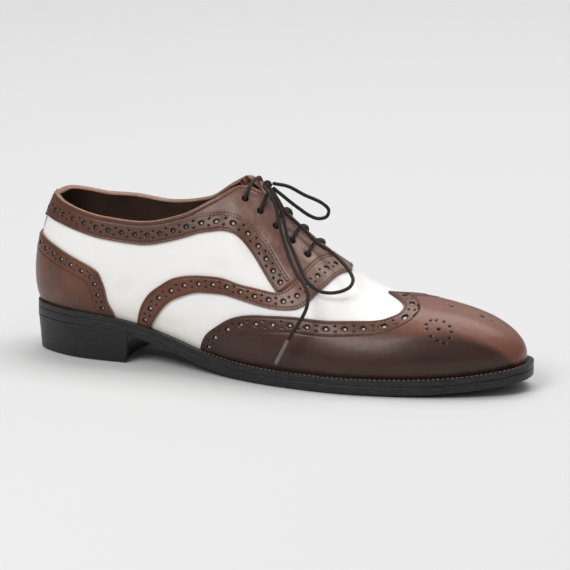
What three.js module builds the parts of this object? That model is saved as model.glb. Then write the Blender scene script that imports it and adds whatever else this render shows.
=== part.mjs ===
// A two-colour wing-tip oxford for the right foot: sole, heel, hollow upper, overlays, tongue and laces.
// Millimetres. +X points to the toe, +Y to the medial side (the wearer's left) and +Z up, floor at z = 0.
import * as THREE from "three";

// Driving sizes of the shoe
const lastLength = 296; // along the upper's bottom edge, heel to toe
const ballWidth = 91; // of the same edge at the ball of the foot
const instepHeight = 118; // top of the facings above the floor
const heelHeight = 20.4; // heel block under the sole
const outsoleThickness = 5;
const weltThickness = 3;
const weltMargin = 4.6; // how far the welt stands out round the forefoot
const insoleThickness = 2.5;
const insoleClearance = 0.6; // between the insole's edge and the upper's inner wall
const upperWall = 2;
const overlayThickness = 1.2;
const tongueThickness = 1.6;
const laceDiameter = 2.1;
const agletDiameter = 2.7;
const meetingGap = 0.3; // between two pieces that meet
const overlayGap = 0.5; // between the upper and what is stitched on it
const tongueGap = 0.9; // between the tongue and the upper's inner wall
const edgeEase = 0.7; // rounding of the sole's and the heel's edges
const heelTaper = 2; // how much smaller the heel is at the floor
const breastHollow = 5; // depth of the curve in the heel's front face
const heelFrontBlend = 8; // power that keeps the taper near the heel's front corners
const toeSideOffset = 6; // how far the toe turns to the medial side
const backStripRise = 0.8; // how far the strip on the back seam stands over the collar

// Sections of the last, heel to toe. station is the place along the surface's s direction.
// foot, crest: shares of lastLength. lateral, medial, open, flare, shoulder: shares of ballWidth.
// dip, rise, drop: shares of instepHeight. fan: degrees that the section turns away from straight across.
const sectionColumns = ["station", "foot", "lateral", "medial", "crest", "openLateral", "openMedial",
  "dipLateral", "dipMedial", "flareLateral", "flareMedial", "rise", "shoulder", "drop", "fan"];
const sectionRows = [
  [0, -0.0095, 0, 0, 0.017, 0, 0, 0.169, 0.169, 0.069, 0.069, 0.11, 0.121, 0.195, -90],
  [0.045, 0.0025, 0.165, 0.154, 0.025, 0.121, 0.121, 0.165, 0.165, 0.07, 0.07, 0.11, 0.121, 0.195, -62],
  [0.076, 0.029, 0.242, 0.242, 0.052, 0.198, 0.203, 0.189, 0.181, 0.073, 0.073, 0.119, 0.11, 0.195, -38],
  [0.122, 0.079, 0.319, 0.313, 0.091, 0.262, 0.264, 0.213, 0.206, 0.077, 0.077, 0.119, 0.099, 0.195, -15],
  [0.186, 0.152, 0.349, 0.335, 0.152, 0.295, 0.297, 0.246, 0.219, 0.077, 0.077, 0.119, 0.077, 0.186, 0],
  [0.262, 0.237, 0.341, 0.313, 0.236, 0.289, 0.292, 0.269, 0.246, 0.077, 0.088, 0.127, 0.077, 0.186, 0],
  [0.328, 0.311, 0.355, 0.28, 0.311, 0.253, 0.258, 0.236, 0.22, 0.077, 0.099, 0.144, 0.099, 0.203, 0],
  [0.389, 0.378, 0.385, 0.275, 0.372, 0.181, 0.192, 0.156, 0.127, 0.077, 0.121, 0.169, 0.143, 0.186, 0],
  [0.443, 0.439, 0.424, 0.297, 0.429, 0.086, 0.093, 0.052, 0.036, 0.077, 0.121, 0.186, 0.198, 0.102, 0],
  [0.493, 0.493, 0.459, 0.341, 0.48, 0.013, 0.013, 0.012, 0.003, 0.077, 0.11, 0.195, 0.231, 0.042, 0],
  [0.543, 0.547, 0.488, 0.396, 0.534, 0.011, 0.011, 0.003, 0.002, 0.071, 0.088, 0.186, 0.264, 0.017, 0],
  [0.592, 0.601, 0.51, 0.445, 0.591, 0, 0, 0, 0, 0.066, 0.077, 0.169, 0.297, 0, 0],
  [0.646, 0.662, 0.519, 0.478, 0.652, 0, 0, 0, 0, 0.06, 0.066, 0.153, 0.33, 0, 0],
  [0.701, 0.723, 0.503, 0.478, 0.713, 0, 0, 0, 0, 0.055, 0.055, 0.144, 0.36, 0, 0],
  [0.756, 0.784, 0.465, 0.451, 0.774, 0, 0, 0, 0, 0.049, 0.049, 0.136, 0.365, 0, 0],
  [0.812, 0.845, 0.404, 0.401, 0.831, 0, 0, 0, 0, 0.044, 0.044, 0.127, 0.34, 0, 0],
  [0.867, 0.902, 0.322, 0.335, 0.878, 0, 0, 0, 0, 0.038, 0.038, 0.11, 0.29, 0, 8],
  [0.915, 0.949, 0.237, 0.258, 0.903, 0, 0, 0, 0, 0.038, 0.038, 0.102, 0.25, 0, 30],
  [0.955, 0.983, 0.143, 0.165, 0.91, 0, 0, 0, 0, 0.038, 0.038, 0.093, 0.24, 0, 58],
  [0.981, 0.997, 0.064, 0.071, 0.91, 0, 0, 0, 0, 0.038, 0.038, 0.093, 0.24, 0, 78],
  [1, 1, 0, 0, 0.91, 0, 0, 0, 0, 0.038, 0.038, 0.093, 0.24, 0, 90],
];
const throatStation = 0.592; // where the slit between the facings ends
const poleShare = 0.899; // where the sections round the toe end on the crest, as a share of lastLength

// Side profile of the last's top: along as a share of lastLength, height as a share of instepHeight.
const crestRows = [
  [0, 0.958], [0.101, 0.966], [0.203, 0.983], [0.311, 1], [0.378, 1.004], [0.419, 0.981],
  [0.459, 0.903], [0.507, 0.775], [0.554, 0.671], [0.601, 0.585], [0.652, 0.508], [0.713, 0.436],
  [0.774, 0.415], [0.831, 0.397], [0.882, 0.376], [0.919, 0.352],
];
// Sideways turn of the centre line: along as a share of lastLength, offset as a share of toeSideOffset.
const centreRows = [[0, 0], [0.203, 0], [0.405, 0.25], [0.608, 0.667], [0.811, 1], [1, 1]];
// How far the sole is lifted off the floor: along as a share of lastLength, lift as a share of heelHeight.
const liftRows = [
  [0, 1], [0.081, 0.995], [0.152, 0.947], [0.237, 0.767], [0.311, 0.49], [0.378, 0.223], [0.439, 0.078],
  [0.493, 0.019], [0.547, 0], [0.662, 0], [0.723, 0.015], [0.784, 0.042], [0.845, 0.08], [0.902, 0.147],
  [0.949, 0.232], [0.983, 0.31], [1, 0.35],
];
// Margin of the sole outside the upper's bottom edge, by station, as a share of weltMargin.
const marginRows = [[0, 0.33], [0.2, 0.28], [0.3, 0.35], [0.39, 0.55], [0.47, 0.85], [0.55, 1], [1, 1]];
const breastStation = 0.243; // where the heel's sides end

// Overlays. Each row is one rib of the piece, from one edge to the other: the station and the height on
// the section (0 at the sole, 1 at the top) of both ends, and how far the rib bows from a straight one.
const ribColumns = ["fromStation", "fromHeight", "toStation", "toHeight", "bowStation", "bowHeight"];
const counterRibs = [
  [0, 0, 0.217, 0, 0, 0], [0, 0.1, 0.211, 0.1, 0, 0], [0, 0.197, 0.204, 0.207, 0, 0],
  [0, 0.303, 0.2, 0.332, 0, 0], [0, 0.408, 0.192, 0.448, 0, 0.005], [0, 0.534, 0.183, 0.515, 0, 0.02],
  [0, 0.678, 0.163, 0.561, 0, 0.03],
];
const collarRibs = [
  [0.007, 0.775, 0.007, 1, 0, 0], [0.052, 0.82, 0.052, 1, 0, 0], [0.101, 0.834, 0.101, 1, 0, 0],
  [0.154, 0.825, 0.154, 1, 0, 0], [0.196, 0.813, 0.196, 1, 0, 0], [0.237, 0.81, 0.237, 1, 0, 0],
  [0.275, 0.81, 0.275, 1, 0, 0], [0.312, 0.82, 0.312, 1, 0, 0], [0.345, 0.822, 0.35, 1, 0, 0],
  [0.374, 0.8, 0.385, 1, 0, 0], [0.404, 0.75, 0.417, 1, 0, 0], [0.427, 0.699, 0.445, 1, 0, 0],
  [0.449, 0.657, 0.472, 1, 0, 0], [0.471, 0.607, 0.497, 1, 0, 0], [0.493, 0.556, 0.527, 1, 0.002, -0.015],
  [0.514, 0.511, 0.559, 1, 0.004, -0.028], [0.531, 0.477, 0.592, 1, 0.007, -0.06],
];
const bandRibs = [
  [0.283, 0, 0.258, 0, 0, 0], [0.3, 0.19, 0.267, 0.21, 0, 0], [0.321, 0.335, 0.283, 0.378, 0, 0],
  [0.346, 0.4, 0.304, 0.474, 0, 0], [0.375, 0.425, 0.335, 0.545, 0, 0], [0.408, 0.404, 0.383, 0.527, 0, 0],
  [0.45, 0.373, 0.425, 0.471, 0, 0], [0.492, 0.363, 0.467, 0.437, 0, 0], [0.533, 0.386, 0.508, 0.452, 0, 0],
  [0.567, 0.43, 0.536, 0.481, 0, 0], [0.588, 0.5, 0.554, 0.54, 0, 0], [0.604, 0.61, 0.568, 0.63, 0, 0],
  [0.617, 0.735, 0.58, 0.75, 0, 0], [0.627, 0.87, 0.59, 0.88, 0, 0], [0.638, 1, 0.6, 1, 0, 0],
];
const wingRibs = [
  [0.383, 0, 1, 0, 0, 0], [0.388, 0.08, 1, 0.05, 0, 0], [0.4, 0.164, 1, 0.09, 0, 0],
  [0.421, 0.225, 1, 0.13, 0, 0], [0.45, 0.275, 1, 0.17, 0, 0], [0.492, 0.312, 1, 0.22, 0, 0],
  [0.533, 0.35, 1, 0.28, 0, 0], [0.58, 0.4, 1, 0.34, 0, 0], [0.629, 0.455, 1, 0.4, 0, 0],
  [0.683, 0.55, 1, 0.47, 0, 0], [0.717, 0.61, 1, 0.54, 0, 0], [0.735, 0.665, 1, 0.61, 0, 0],
  [0.746, 0.715, 1, 0.68, 0, 0], [0.7505, 0.775, 1, 0.75, 0, 0], [0.7485, 0.835, 1, 0.82, 0, 0],
  [0.7385, 0.895, 1, 0.89, 0, 0], [0.724, 0.948, 1, 0.95, 0, 0], [0.706, 1, 1, 1, 0, 0],
];
const crowding = 1.35; // over 1 brings the steps across a wide piece closer together towards its far edge
const backStrip = { halfWidth: 0.004, low: 0.735 }; // in station and in height

// Tongue: station of each crossing, reach down both sides on the section, and crown upwards as a share
// of instepHeight.
const tongueColumns = ["station", "reach", "crown"];
const tongueRows = [
  [0.598, 0.24, 0], [0.57, 0.27, 0.001], [0.543, 0.28, 0.002], [0.515, 0.28, 0.003], [0.485, 0.25, 0.004],
  [0.462, 0.15, 0.008], [0.444, 0.03, 0.01],
];
// The tongue's tip stands out above the facings: rise up and back as shares of instepHeight, width left of
// the last row.
const tongueTipRows = [[0.018, 0.01, 0.66], [0.038, 0.03, 0.5]];

// Eyelet pairs, bottom to top: station and height on the section, the same on both sides.
const eyeletRows = [[0.571, 0.82], [0.542, 0.832], [0.511, 0.826], [0.479, 0.835], [0.449, 0.885]];

// The lace above the bars: routes chosen by hand, in millimetres from the back of the upper's bottom edge.
const knotCentre = [138.3, -0.5, 108.4];
const knotRadii = [3.1, 3.4, 2.7];
const loopUpperRoute = [
  [142, 0.6, 109.2], [149.5, 4, 107.5], [159, 7, 102.5], [168.5, 9, 98.5], [173, 9.5, 94.5],
  [172, 9, 90.5], [167, 8, 89], [162, 6, 91], [156.5, 4, 95], [152, 2.5, 98.5], [147.5, 1, 102.3],
  [142.2, 0, 106.4],
];
const loopLowerRoute = [
  [141.1, -2.6, 106.5], [146, -3.2, 100.8], [152, -5, 93.5], [161, -3, 85.5], [171.5, -3.5, 77.2],
  [179.5, -4, 73], [187.5, -7, 68.5], [194, -11, 64], [198, -16, 60.5], [198, -21, 57.5],
  [194.5, -25, 55.5], [188.5, -28, 54.5], [182.5, -30, 55.5], [177.5, -30.5, 58.5], [173.5, -29, 61.5],
  [169, -25.5, 66.5], [163, -20.5, 74], [158, -17, 81], [154.5, -13, 87.5], [151.5, -9.5, 93.5],
  [147.5, -7.2, 99.8], [141, -3.9, 107.7],
];
const endRoute = [
  [138.2, -4.9, 108], [143, -9.2, 105.3], [148, -12, 99], [152, -16.5, 90], [157, -21.5, 81],
  [163, -27, 71.5], [169, -32, 65], [175, -36, 60.5], [179, -40, 56.5], [180.5, -43.5, 51.5],
  [180.2, -46, 47.5], [179, -48.5, 43.5], [177, -50, 39.5], [174.5, -51.5, 35], [172, -52.3, 30.5],
];
const agletRoute = [[171.8, -52.4, 30.1], [165.5, -54, 16.5]];

// Second derivatives of the cubic spline through the points. A slope left out makes that end straight.
function splineBends(knots, values, startSlope, endSlope) {
  const last = knots.length - 1;
  const lower = new Array(last + 1).fill(0);
  const middle = new Array(last + 1).fill(1);
  const upper = new Array(last + 1).fill(0);
  const target = new Array(last + 1).fill(0);
  const width = (i) => knots[i + 1] - knots[i];
  const slope = (i) => (values[i + 1] - values[i]) / width(i);
  for (let i = 1; i < last; i++) {
    lower[i] = width(i - 1);
    middle[i] = 2 * (width(i - 1) + width(i));
    upper[i] = width(i);
    target[i] = 6 * (slope(i) - slope(i - 1));
  }
  if (startSlope !== undefined) {
    middle[0] = 2 * width(0);
    upper[0] = width(0);
    target[0] = 6 * (slope(0) - startSlope);
  }
  if (endSlope !== undefined) {
    middle[last] = 2 * width(last - 1);
    lower[last] = width(last - 1);
    target[last] = 6 * (endSlope - slope(last - 1));
  }
  for (let i = 1; i <= last; i++) {
    const factor = lower[i] / middle[i - 1];
    middle[i] -= factor * upper[i - 1];
    target[i] -= factor * target[i - 1];
  }
  const bends = new Array(last + 1).fill(0);
  bends[last] = target[last] / middle[last];
  for (let i = last - 1; i >= 0; i--) bends[i] = (target[i] - upper[i] * bends[i + 1]) / middle[i];
  return bends;
}

function spanOf(knots, at) {
  let i = 0;
  while (i < knots.length - 2 && at >= knots[i + 1]) i++;
  return i;
}

// Smooth curve through the points, straight on past both ends.
function smoothCurve(knots, values, startSlope, endSlope) {
  const bends = splineBends(knots, values, startSlope, endSlope);
  return (at) => {
    const inside = Math.min(Math.max(at, knots[0]), knots[knots.length - 1]);
    const i = spanOf(knots, inside);
    const width = knots[i + 1] - knots[i];
    const a = (knots[i + 1] - inside) / width;
    const b = (inside - knots[i]) / width;
    const bent = ((a ** 3 - a) * bends[i] + (b ** 3 - b) * bends[i + 1]) * width * width / 6;
    const slope = (values[i + 1] - values[i]) / width
      + ((1 - 3 * a * a) * bends[i] + (3 * b * b - 1) * bends[i + 1]) * width / 6;
    return a * values[i] + b * values[i + 1] + bent + slope * (at - inside);
  };
}

// Curve through the points that never overshoots them, level where the points are level.
function levelCurve(knots, values) {
  const last = knots.length - 1;
  const slope = (i) => (values[i + 1] - values[i]) / (knots[i + 1] - knots[i]);
  const slopes = knots.map((_, i) => {
    if (i === 0 || i === last) return 0;
    const before = slope(i - 1);
    const after = slope(i);
    if (before * after <= 0) return 0;
    const widthBefore = knots[i] - knots[i - 1];
    const widthAfter = knots[i + 1] - knots[i];
    const weightBefore = 2 * widthAfter + widthBefore;
    const weightAfter = widthAfter + 2 * widthBefore;
    return (weightBefore + weightAfter) / (weightBefore / before + weightAfter / after);
  });
  slopes[last] = slope(last - 1);
  return (at) => {
    const inside = Math.min(Math.max(at, knots[0]), knots[last]);
    const i = spanOf(knots, inside);
    const width = knots[i + 1] - knots[i];
    const b = (inside - knots[i]) / width;
    const rest = 1 - b;
    const level = values[i] * rest * rest * (1 + 2 * b) + values[i + 1] * b * b * (3 - 2 * b);
    const slant = slopes[i] * b * rest * rest - slopes[i + 1] * b * b * rest;
    return level + slant * width + slopes[at > knots[last] ? last : 0] * (at - inside);
  };
}

function column(rows, columns, name) {
  const index = columns.indexOf(name);
  return rows.map((row) => row[index]);
}

const stations = column(sectionRows, sectionColumns, "station");
function sectionCurve(name, size, kind) {
  const values = column(sectionRows, sectionColumns, name).map((share) => share * size);
  if (kind === "level") return levelCurve(stations, values);
  return kind === "free" ? smoothCurve(stations, values) : smoothCurve(stations, values, 0, 0);
}

const section = {
  foot: sectionCurve("foot", lastLength),
  crest: sectionCurve("crest", lastLength),
  half: { "-1": sectionCurve("lateral", ballWidth, "free"), 1: sectionCurve("medial", ballWidth, "free") },
  open: {
    "-1": sectionCurve("openLateral", ballWidth, "level"),
    1: sectionCurve("openMedial", ballWidth, "level"),
  },
  dip: {
    "-1": sectionCurve("dipLateral", instepHeight, "level"),
    1: sectionCurve("dipMedial", instepHeight, "level"),
  },
  flare: { "-1": sectionCurve("flareLateral", ballWidth), 1: sectionCurve("flareMedial", ballWidth) },
  rise: sectionCurve("rise", instepHeight),
  shoulder: sectionCurve("shoulder", ballWidth),
  drop: sectionCurve("drop", instepHeight),
  fan: sectionCurve("fan", 1, "free"),
};

const along = (rows) => rows.map(([share]) => share * lastLength);
const crestHeight = smoothCurve(along(crestRows), crestRows.map(([, share]) => share * instepHeight));
const centreLine = smoothCurve(along(centreRows), centreRows.map(([, share]) => share * toeSideOffset), 0, 0);
const soleLift = levelCurve(along(liftRows), liftRows.map(([, share]) => share * heelHeight));
const marginStations = marginRows.map(([at]) => at);
const soleMargin = levelCurve(marginStations, marginRows.map(([, share]) => share * weltMargin));

const outsoleTop = (x) => soleLift(x) + outsoleThickness;
const weltBottom = (x) => outsoleTop(x) + meetingGap;
const weltTop = (x) => weltBottom(x) + weltThickness;
const featherHeight = (x) => weltTop(x) + meetingGap;
const toePole = poleShare * lastLength;

// Point of the upper's bottom edge, pushed outwards in plan by a margin, with its outward direction.
function footPoint(station, side, margin = 0) {
  const step = 1e-4;
  const plan = (at) => {
    const x = section.foot(at);
    return [x, centreLine(x) + side * Math.max(section.half[side](at), 0)];
  };
  const [x, y] = plan(station);
  const [x0, y0] = plan(Math.max(station - step, 0));
  const [x1, y1] = plan(Math.min(station + step, 1));
  const out = new THREE.Vector3(-side * (y1 - y0), side * (x1 - x0), 0).normalize();
  if (station === 0) out.set(-1, 0, 0);
  if (station === 1) out.set(1, 0, 0);
  return { point: new THREE.Vector3(x + margin * out.x, y + margin * out.y, 0), out };
}

// Point of the last: a Bezier section from the bottom edge (height 0) to the top edge or crest (height 1).
function lastPoint(station, height, side) {
  const { point: foot, out } = footPoint(station, side);
  foot.z = featherHeight(foot.x);
  const lowHandle = foot.clone().addScaledVector(out, section.flare[side](station));
  lowHandle.z += section.rise(station);
  const x = Math.min(section.crest(station), toePole);
  const top = new THREE.Vector3(
    x,
    centreLine(x) + side * section.open[side](station),
    crestHeight(x) - section.dip[side](station),
  );
  const turn = THREE.MathUtils.degToRad(THREE.MathUtils.clamp(section.fan(station), -90, 90));
  const slope = turn > 0 ? crestSlope(x) : 0;
  const forward = new THREE.Vector3(1, 0, slope).normalize();
  const topHandle = top.clone().addScaledVector(forward, Math.sin(turn) * section.shoulder(station));
  topHandle.y += side * Math.cos(turn) * section.shoulder(station);
  topHandle.z -= section.drop(station);
  return new THREE.CubicBezierCurve3(foot, lowHandle, topHandle, top).getPoint(height);
}

function crestSlope(x) {
  const step = 0.05;
  return (crestHeight(x + step) - crestHeight(x - step)) / (2 * step);
}

function sideNormal(station, height, side) {
  const step = 1e-3;
  const inner = Math.min(height, 1 - step);
  const alongStation = lastPoint(Math.min(station + step, 1), inner, side)
    .sub(lastPoint(Math.max(station - step, 0), inner, side));
  const alongHeight = lastPoint(station, inner + step, side)
    .sub(lastPoint(station, Math.max(inner - step, 0), side));
  return alongStation.cross(alongHeight).multiplyScalar(-side).normalize();
}

// Outward direction of the last, the same from both sides where they meet.
function lastNormal(station, height, side) {
  const closed = section.open[-1](station) === 0 && section.open[1](station) === 0;
  if (height === 1 && closed && station > 0) {
    const x = Math.min(section.crest(station), toePole);
    return new THREE.Vector3(-crestSlope(x), 0, 1).normalize();
  }
  const normal = sideNormal(station, height, side);
  if (station === 0 || station === 1) normal.add(sideNormal(station, height, -side)).normalize();
  return normal;
}

// Point at a distance off the last. Near the sole the offset turns level, so that the bottom edge stays flat.
function offLast({ station, height, side }, distance) {
  const levelReach = 0.1;
  const normal = lastNormal(station, height, side);
  const level = Math.max(0, 1 - height / levelReach) ** 2;
  normal.lerp(footPoint(station, side).out, level).normalize();
  return lastPoint(station, height, side).addScaledVector(normal, distance);
}

const tidy = (value) => Math.min(Math.max(Math.round(value * 1e7) / 1e7, 0), 1);
const steps = (from, to, count) =>
  Array.from({ length: count + 1 }, (_, i) => from + (to - from) * i / count);

// Closed solid from sheets of spots. stackOf gives each spot's points from the outer face through the
// rim to the inner face, and spots whose outer and inner points agree are one.
function sheetSolid(sheets, stackOf) {
  const stacks = [];
  const known = new Map();
  const faces = [];
  const vertex = (spot) => {
    const stack = stackOf(spot);
    const ends = [stack[0], stack[stack.length - 1]];
    const key = ends.map((p) => p.toArray().map((v) => Math.round(v * 1e4) + 0).join()).join();
    if (!known.has(key)) known.set(key, stacks.push(stack) - 1);
    return known.get(key);
  };
  const face = (a, b, c) => {
    if (a === b || b === c || c === a) return;
    const [pa, pb, pc] = [a, b, c].map((i) => stacks[i][0]);
    const normal = pb.clone().sub(pa).cross(pc.clone().sub(pa));
    const outward = new THREE.Vector3();
    for (const i of [a, b, c]) outward.add(stacks[i][0]).sub(stacks[i][stacks[i].length - 1]);
    faces.push(normal.dot(outward) > 0 ? [a, b, c] : [a, c, b]);
  };
  for (const sheet of sheets) {
    const ids = sheet.map((row) => row.map(vertex));
    for (let i = 0; i + 1 < ids.length; i++) {
      for (let j = 0; j + 1 < ids[i].length; j++) {
        const [a, b, c, d] = [ids[i][j], ids[i + 1][j], ids[i + 1][j + 1], ids[i][j + 1]];
        face(a, b, c);
        face(a, c, d);
      }
    }
  }
  const layers = stacks[0].length;
  const positions = [];
  for (let layer = 0; layer < layers; layer++) {
    for (const stack of stacks) positions.push(...stack[layer].toArray());
  }
  const bottom = (layers - 1) * stacks.length;
  const directed = new Set(faces.flatMap(([a, b, c]) => [`${a},${b}`, `${b},${c}`, `${c},${a}`]));
  const index = [];
  for (const [a, b, c] of faces) {
    index.push(a, b, c, bottom + a, bottom + c, bottom + b);
    for (const [from, to] of [[a, b], [b, c], [c, a]]) {
      if (directed.has(`${to},${from}`)) continue;
      for (let layer = 0; layer + 1 < layers; layer++) {
        const here = layer * stacks.length;
        const next = here + stacks.length;
        index.push(here + to, here + from, next + from, here + to, next + from, next + to);
      }
    }
  }
  return compact(positions, index);
}

// Drops the points that no triangle uses.
function compact(positions, index) {
  const renumbered = new Map();
  const kept = [];
  const newIndex = index.map((i) => {
    if (!renumbered.has(i)) {
      renumbered.set(i, kept.length / 3);
      kept.push(positions[3 * i], positions[3 * i + 1], positions[3 * i + 2]);
    }
    return renumbered.get(i);
  });
  const geometry = new THREE.BufferGeometry();
  geometry.setAttribute("position", new THREE.Float32BufferAttribute(kept, 3));
  geometry.setIndex(newIndex);
  geometry.computeVertexNormals();
  return geometry;
}

// Flat layer of the sole between two heights, with eased edges. Its sides follow the foot at a margin.
function soleLayer(margin, bottom, top, ease, stationCount) {
  const across = 2;
  const sheet = steps(0, 1, stationCount).map((station) =>
    steps(-1, 1, across).map((share) => ({ station: tidy(station), share })));
  const rimPoint = ({ station, share }, inset) => {
    const lateral = footPoint(station, -1, margin(station) - inset).point;
    const medial = footPoint(station, 1, margin(station) - inset).point;
    return lateral.lerp(medial, (share + 1) / 2);
  };
  const at = (spot, inset, height) => {
    const point = rimPoint(spot, inset);
    point.z = height(point.x);
    return point;
  };
  return sheetSolid([sheet], (spot) => [
    at(spot, ease, top),
    at(spot, 0, (x) => top(x) - ease),
    at(spot, 0, (x) => bottom(x) + ease),
    at(spot, ease, bottom),
  ]);
}

function outsoleGeometry() {
  return soleLayer(soleMargin, soleLift, outsoleTop, edgeEase, 32);
}

function weltGeometry() {
  return soleLayer(soleMargin, weltBottom, weltTop, edgeEase / 2, 32);
}

function insoleGeometry() {
  const inset = overlayThickness + overlayGap + upperWall + insoleClearance;
  return soleLayer(() => -inset, featherHeight, (x) => featherHeight(x) + insoleThickness, edgeEase / 2, 26);
}

// The heel tapers towards the floor, and its front face curves in between the two sides.
function heelGeometry() {
  const stationCount = 12;
  const across = 6;
  const sheet = steps(0, breastStation, stationCount).map((station) =>
    steps(-1, 1, across).map((share) => ({ station, share })));
  const at = ({ station, share }, inset, height) => {
    const lateral = footPoint(station, -1, soleMargin(station) - inset).point;
    const medial = footPoint(station, 1, soleMargin(station) - inset).point;
    const point = lateral.lerp(medial, (share + 1) / 2);
    point.x -= breastHollow * (1 - share * share) * (station / breastStation) ** 2;
    point.x -= inset * (station / breastStation) ** heelFrontBlend;
    point.z = height(point.x);
    return point;
  };
  const top = (x) => soleLift(x) - meetingGap;
  return sheetSolid([sheet], (spot) => [
    at(spot, 0, top),
    at(spot, heelTaper, () => edgeEase),
    at(spot, heelTaper + edgeEase, () => 0),
  ]);
}

// The upper is one wall round both sides, open at the collar, down the slit and underneath.
function upperGeometry() {
  const outer = -overlayThickness - overlayGap;
  const list = [...steps(0, throatStation, 22), ...steps(throatStation, 1, 15).slice(1)].map(tidy);
  const heights = steps(0, 1, 9).map(tidy);
  const sheets = [-1, 1].map((side) =>
    list.map((station) => heights.map((height) => ({ station, height, side }))));
  return sheetSolid(sheets, (spot) => [offLast(spot, outer), offLast(spot, outer - upperWall)]);
}

// Overlay between two forms of the last, on one side or both. Its ribs follow a table.
function overlayGeometry(ribs, sides, ribSteps, crossSteps, gathered = 1) {
  const knots = ribs.map((_, i) => i / (ribs.length - 1));
  const curve = Object.fromEntries(ribColumns.map((name) =>
    [name, smoothCurve(knots, column(ribs, ribColumns, name))]));
  const spot = (rib, cross, side) => {
    const bow = 4 * cross * (1 - cross);
    const mix = (from, to, bend) => tidy(from + (to - from) * cross + bend * bow);
    return {
      station: mix(curve.fromStation(rib), curve.toStation(rib), curve.bowStation(rib)),
      height: mix(curve.fromHeight(rib), curve.toHeight(rib), curve.bowHeight(rib)),
      side,
    };
  };
  const sheets = sides.map((side) =>
    steps(0, 1, ribSteps).map((rib) => steps(0, 1, crossSteps).map((cross) =>
      spot(rib, 1 - (1 - cross) ** gathered, side))));
  return sheetSolid(sheets, (place) => [offLast(place, 0), offLast(place, -overlayThickness)]);
}

// Narrow strip that covers the seam at the back of the collar, between the two collar pieces.
function backStripGeometry() {
  const sheets = [-1, 1].map((side) => steps(0, backStrip.halfWidth, 1).map((station) =>
    steps(backStrip.low, 1, 4).map((height) => ({ station: tidy(station), height: tidy(height), side }))));
  return sheetSolid(sheets, (place) => [offLast(place, backStripRise), offLast(place, -overlayThickness)]);
}

// The tongue lies just inside the upper, bridges the slit and stands out above the facings.
function tongueGeometry() {
  const depth = overlayThickness + overlayGap + upperWall + tongueGap;
  const perSide = 4;
  const tongue = Object.fromEntries(tongueColumns.map((name) =>
    [name, column(tongueRows, tongueColumns, name)]));
  const crossing = (row, distance) => {
    const half = (side) => steps(1, 0, perSide).map((share) => offLast({
      station: tidy(tongue.station[row]),
      height: tidy(1 - tongue.reach[row] * share),
      side,
    }, distance));
    const lateral = half(-1);
    const medial = half(1).reverse();
    const middle = lateral[perSide].clone().lerp(medial[0], 0.5);
    middle.z += tongue.crown[row] * instepHeight;
    return [...lateral.slice(0, perSide), middle, ...medial.slice(1)];
  };
  const lastRow = tongueRows.length - 1;
  const rows = tongueRows.map((_, row) => [crossing(row, -depth), crossing(row, -depth - tongueThickness)]);
  for (const [rise, back, width] of tongueTipRows) {
    const raised = rows[lastRow].map((layer) => {
      const middle = layer[perSide];
      return layer.map((point) => {
        const moved = point.clone().sub(middle).multiplyScalar(width).add(middle);
        return moved.add(new THREE.Vector3(-back, 0, rise).multiplyScalar(instepHeight));
      });
    });
    rows.push(raised);
  }
  const sheet = rows.map(([outer, inner]) => outer.map((point, i) => [point, inner[i]]));
  return sheetSolid([sheet], (stack) => stack);
}

function roundCord(points, diameter, stepCount) {
  const section = new THREE.Shape();
  section.absarc(0, 0, diameter / 2, 0, 2 * Math.PI);
  const path = new THREE.CatmullRomCurve3(points.map((p) => new THREE.Vector3(...p)), false, "centripetal");
  return new THREE.ExtrudeGeometry(section, { steps: stepCount, extrudePath: path, curveSegments: 4 });
}

// One straight bar of lace between an eyelet pair, lying over both facings.
function laceBarGeometry([station, height]) {
  const distance = laceDiameter / 2 + overlayGap;
  const half = (side) => steps(height, 1, 2).map((at) =>
    offLast({ station, height: tidy(at), side }, distance));
  const lateral = half(-1);
  const medial = half(1).reverse();
  const middle = lateral[2].clone().lerp(medial[0], 0.5);
  const wide = lateral[2].distanceTo(medial[0]) > 2 * laceDiameter;
  const centre = wide ? [lateral[2], medial[0]] : [middle];
  const points = [...lateral.slice(0, 2), ...centre, ...medial.slice(1)];
  return roundCord(points.map((p) => p.toArray()), laceDiameter, 6);
}

function knotGeometry() {
  const geometry = new THREE.SphereGeometry(1, 10, 6);
  geometry.scale(...knotRadii);
  geometry.translate(...knotCentre);
  return geometry;
}

const leatherBrown = new THREE.MeshStandardMaterial({ color: 0x7c4a38, roughness: 0.38 });
const leatherWhite = new THREE.MeshStandardMaterial({ color: 0xece8df, roughness: 0.42 });
const soleBlack = new THREE.MeshStandardMaterial({ color: 0x2a2a2c, roughness: 0.5 });
const liningBrown = new THREE.MeshStandardMaterial({ color: 0x4e2f25, roughness: 0.7 });
const laceDark = new THREE.MeshStandardMaterial({ color: 0x2f2623, roughness: 0.6 });
const agletGrey = new THREE.MeshStandardMaterial({ color: 0x77716c, roughness: 0.35 });

const shoe = new THREE.Group();
const cordNames = new Set();
function add(name, geometry, material) {
  const mesh = new THREE.Mesh(geometry, material);
  mesh.name = name;
  shoe.add(mesh);
}
function addCord(name, geometry, material) {
  cordNames.add(name);
  add(name, geometry, material);
}

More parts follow.
